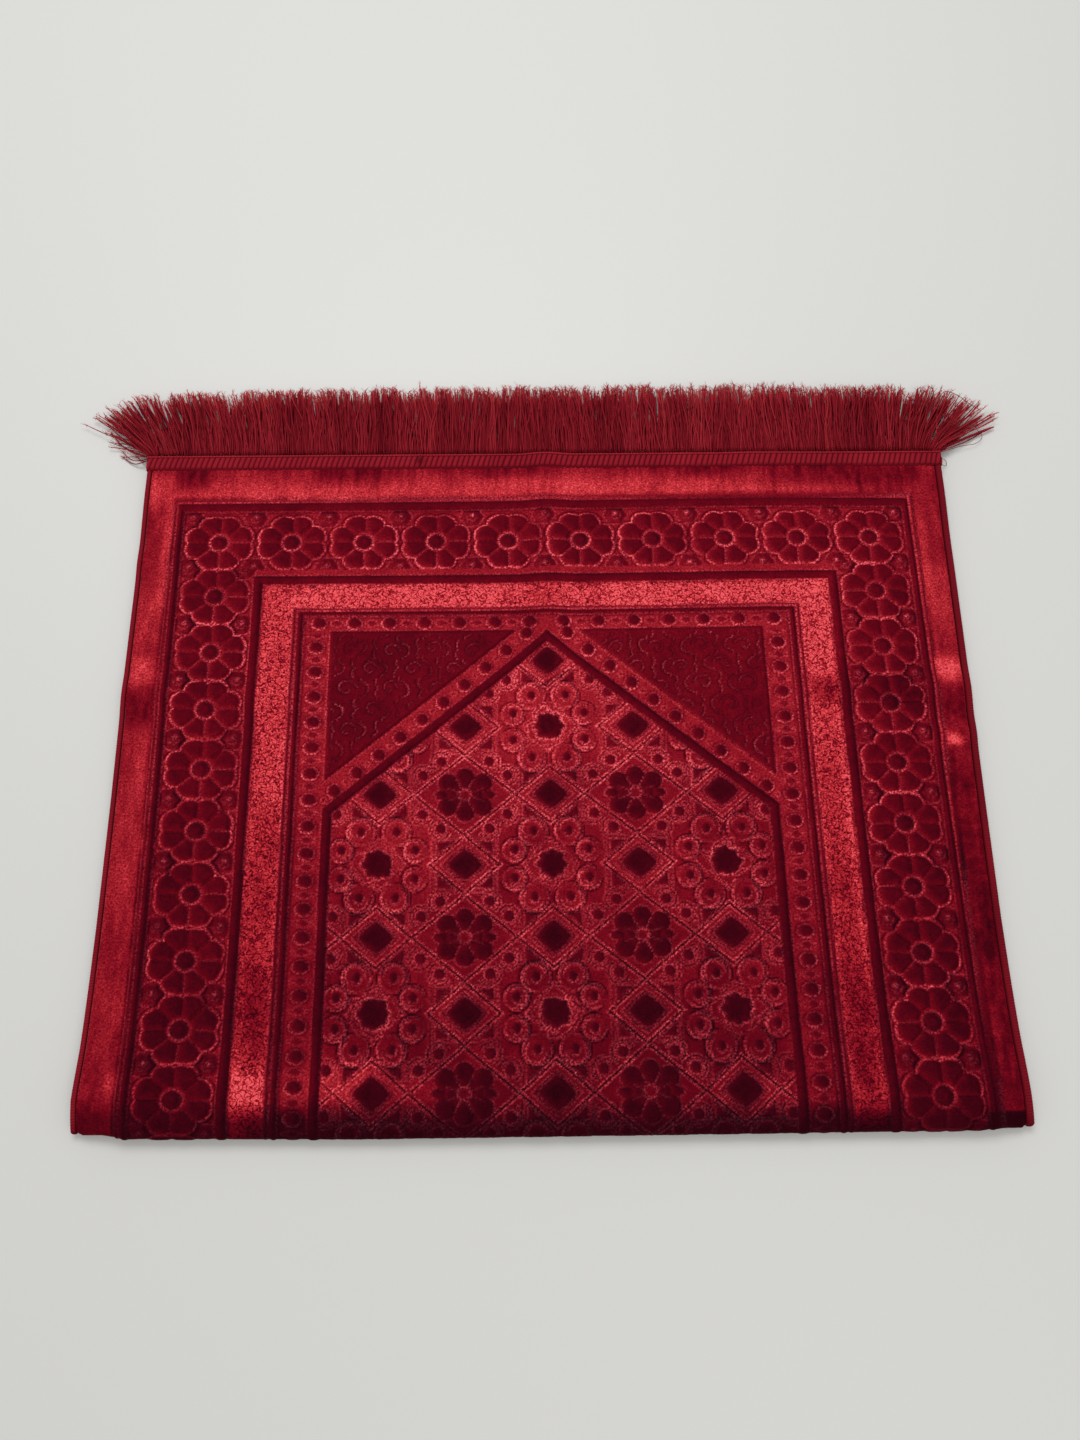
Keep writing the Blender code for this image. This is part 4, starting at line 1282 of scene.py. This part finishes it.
# ====================================================================== heading and bindings
def heading(name, upper_layer, du):
    """The oversewn band: slanting stitches over a cord, and a chain stitch along its outer side."""
    cols = spaced((-WIDTH * 50 - 0.04, du), (WIDTH * 50 + 0.04, 0.0))
    w = np.concatenate([[0.0], np.linspace(0.0, 1.36, 25), [1.36]])  # cm from the inner edge
    x, ww = np.meshgrid(cols, w)
    slant = x - 0.30 * ww
    beat = np.mod(slant / 0.46 + 0.22 * wander(x, 22, 1.3), 1.0)
    gap = np.exp(-((np.minimum(beat, 1 - beat) / 0.11) ** 2))
    rough = wander(x, 25, 0.5)
    lobe = 0.16 * (1 - gap) + 0.05 * rough
    lift = 0.5 + 0.5 * np.sin(beat * math.pi)
    ww = ww - np.where(ww < 0.45, lobe * (1 - ww / 0.45), 0)
    body = step(-0.14, 0.14, ww) * step(1.12, 0.98, ww)
    chain = np.exp(-(((ww - 1.20) / 0.085) ** 2))
    link_beat = 0.5 + 0.5 * np.cos(2 * math.pi * (x / 0.27 + ww * 1.9))
    high = 0.45 + 1.75 * body * (1 - 0.75 * gap) * (0.62 + 0.38 * lift) + chain * (1.25 + 0.55 * link_beat)
    high *= step(1.37, 1.28, ww) * 0.9 + 0.1
    high += 0.10 * (lattice_noise(x * 9, ww * 9, 4) - 0.5)
    ground_h = 2.7 if upper_layer else 2.6
    h = np.where(np.arange(len(w))[:, None] == 0, ground_h - 0.8, ground_h + high * (1.0 if upper_layer else 0.8))
    h[-1] = -0.2
    y = REACH * 100 - HEADING_WIDE * 100 + ww
    if upper_layer:
        along = END - (REACH - y / 100)
        points = place(x / 100, along, h / 1000)
    else:
        along = UNDER_END + (REACH - y / 100)
        points = place(x / 100, along, h / 1000)
        points[..., 2] = np.maximum(points[..., 2], 0.0001)
    # painted light: the crests of the stitches and of the chain's links are painted lighter, and the gaps between
    # stitches, the groove before the chain and the band's two edges darker, as painted shade
    tone = 0.27 + 0.13 * body * lift - 0.32 * gap * body + chain * (0.16 + 0.30 * link_beat) - 0.16 * step(0.10, -0.1, ww)
    tone += 0.05 * wander(x, 33, 2.0) - 0.26 * np.exp(-(((ww - 1.06) / 0.05) ** 2)) - 0.15 * step(1.29, 1.36, ww)
    knot = np.exp(-(((x + 11.0) / 0.35) ** 2) - ((ww - 0.6) / 0.45) ** 2)
    tone -= 0.28 * knot
    points[..., 2] += (0.0009 * knot) if upper_layer else 0
    look = np.stack([np.clip(tone, 0, 1), np.full_like(x, 0.5), np.zeros_like(x), np.ones_like(x)], axis=-1)
    cloth = np.stack([ww * 8, x * 0.0, x * 3], axis=-1)
    quads = grid_quads(len(w), len(cols))
    if not upper_layer:
        quads = quads[:, ::-1]
    mesh = mesh_of(name, points.reshape(-1, 3), quads, (
        ("look", "FLOAT_COLOR", look.reshape(-1, 4)), ("cloth", "FLOAT_VECTOR", cloth.reshape(-1, 3)),
    ))
    return link(mesh, name, STITCH_YARN)


heading_upper = heading("heading_stitches", True, 0.065)
heading_under = heading("heading_stitches_under", False, 0.20)


def binding(name, sign, wide):
    """Overcast yarn round one side edge: a flat bead whose turns slant round it."""
    rows = np.concatenate([
        np.linspace(UNDER_END, -0.012, 300), np.linspace(-0.0115, 0.012, 60), np.linspace(0.0128, END, 620),
    ])
    around = np.arange(12) * 2 * math.pi / 12
    th, along = np.meshgrid(around, rows)
    bead = 0.5 + 0.5 * np.cos(2 * math.pi * (along / 0.0021 + 0.35 * np.cos(th) + 0.2 * wander(along * 100, 41, 1.1)))
    fade = 0.93 + 0.09 * bead
    c, s = np.cos(th), np.sin(th)
    across = np.sign(c) * np.abs(c) ** 0.8 * wide / 2 * fade
    up = np.sign(s) * np.abs(s) ** 0.85 * PLAIN / 2 * fade
    middle = sign * (WIDTH / 2 - wide / 2)
    x = middle + across * 1.02
    points = place(x, along, PLAIN / 2 + up)
    points[..., 2] = np.maximum(points[..., 2], 0.0)
    quads = grid_quads(len(rows), 12, wrap=True)
    # painted light: the right binding is painted darker than the left, the crest of each turn and the top of the bead
    # lighter, and the side that turns in against the cloth darker
    tone = (0.20 if sign < 0 else 0.10) + 0.12 * bead + 0.08 * wander(along * 100, 43, 5.0) + 0.08 * (s > 0.5)
    inner = np.clip(-c * sign, 0, 1)
    tone = tone - 0.30 * inner**3
    # painted shade where the binding runs round the fold
    fold_shade = step(0.012, -0.004, along) * step(-0.03, -0.012, along)
    tone -= 0.16 * fold_shade
    look = np.stack([np.clip(tone, 0, 1), np.full_like(x, 0.45), np.zeros_like(x), np.ones_like(x)], axis=-1)
    cloth = np.stack([along * 476, th * 0.25, along * 60], axis=-1)
    mesh = mesh_of(name, points.reshape(-1, 3), quads, (
        ("look", "FLOAT_COLOR", look.reshape(-1, 4)), ("cloth", "FLOAT_VECTOR", cloth.reshape(-1, 3)),
    ))
    return link(mesh, name, EDGE_YARN)


binding_left = binding("overcast_left", -1, BINDING_WIDE[0])
binding_right = binding("overcast_right", 1, BINDING_WIDE[1])

# ====================================================================== hide the imported parts that the new pieces stand in for
for piece in [ground, *upper, *under]:
    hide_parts("rug_cloth")
for piece in fringe_upper:
    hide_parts("fringe_upper")
for piece in fringe_under:
    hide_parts("fringe_under")
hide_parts("fringe_heading_upper")
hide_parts("fringe_heading_under")
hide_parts("binding_left")
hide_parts("binding_right")

# ====================================================================== floor and light
floor_mesh = bpy.data.meshes.new("floor")
s = 6.0
floor_mesh.from_pydata([(-s, -s, 0), (s, -s, 0), (s, s, 0), (-s, s, 0)], [], [(0, 1, 2, 3)])
floor = bpy.data.objects.new("floor", floor_mesh)
scene.collection.objects.link(floor)
floor.location.z = -0.0002
floor_material, floor_tree, floor_shader = new_material("pale floor")
floor_shader.inputs["Base Color"].default_value = (0.66, 0.66, 0.64, 1)
floor_shader.inputs["Roughness"].default_value = 0.42
floor_shader.inputs["Specular IOR Level"].default_value = 0.3
floor_mesh.materials.append(floor_material)

world = bpy.data.worlds.new("studio")
scene.world = world
world.use_nodes = True
world.node_tree.nodes["Background"].inputs["Color"].default_value = (1.0, 0.99, 0.975, 1)
world.node_tree.nodes["Background"].inputs["Strength"].default_value = 0.60


def area_light(name, location, aim, size, power, colour=(1, 1, 1)):
    data = bpy.data.lights.new(name, "AREA")
    data.shape = "RECTANGLE"
    data.size, data.size_y = size
    data.energy = power
    data.color = colour
    obj = bpy.data.objects.new(name, data)
    scene.collection.objects.link(obj)
    obj.location = location
    way = np.array(aim) - np.array(location)
    obj.rotation_euler = (
        math.atan2(math.hypot(way[0], way[1]), -way[2]), 0, math.atan2(way[1], way[0]) - math.pi / 2,
    )
    return obj


area_light("key", (-0.25, 1.15, 1.9), (0, 0.1, 0), (1.3, 1.0), 21)
area_light("fill", (0.5, -1.3, 1.6), (0, 0, 0), (1.4, 1.0), 7)
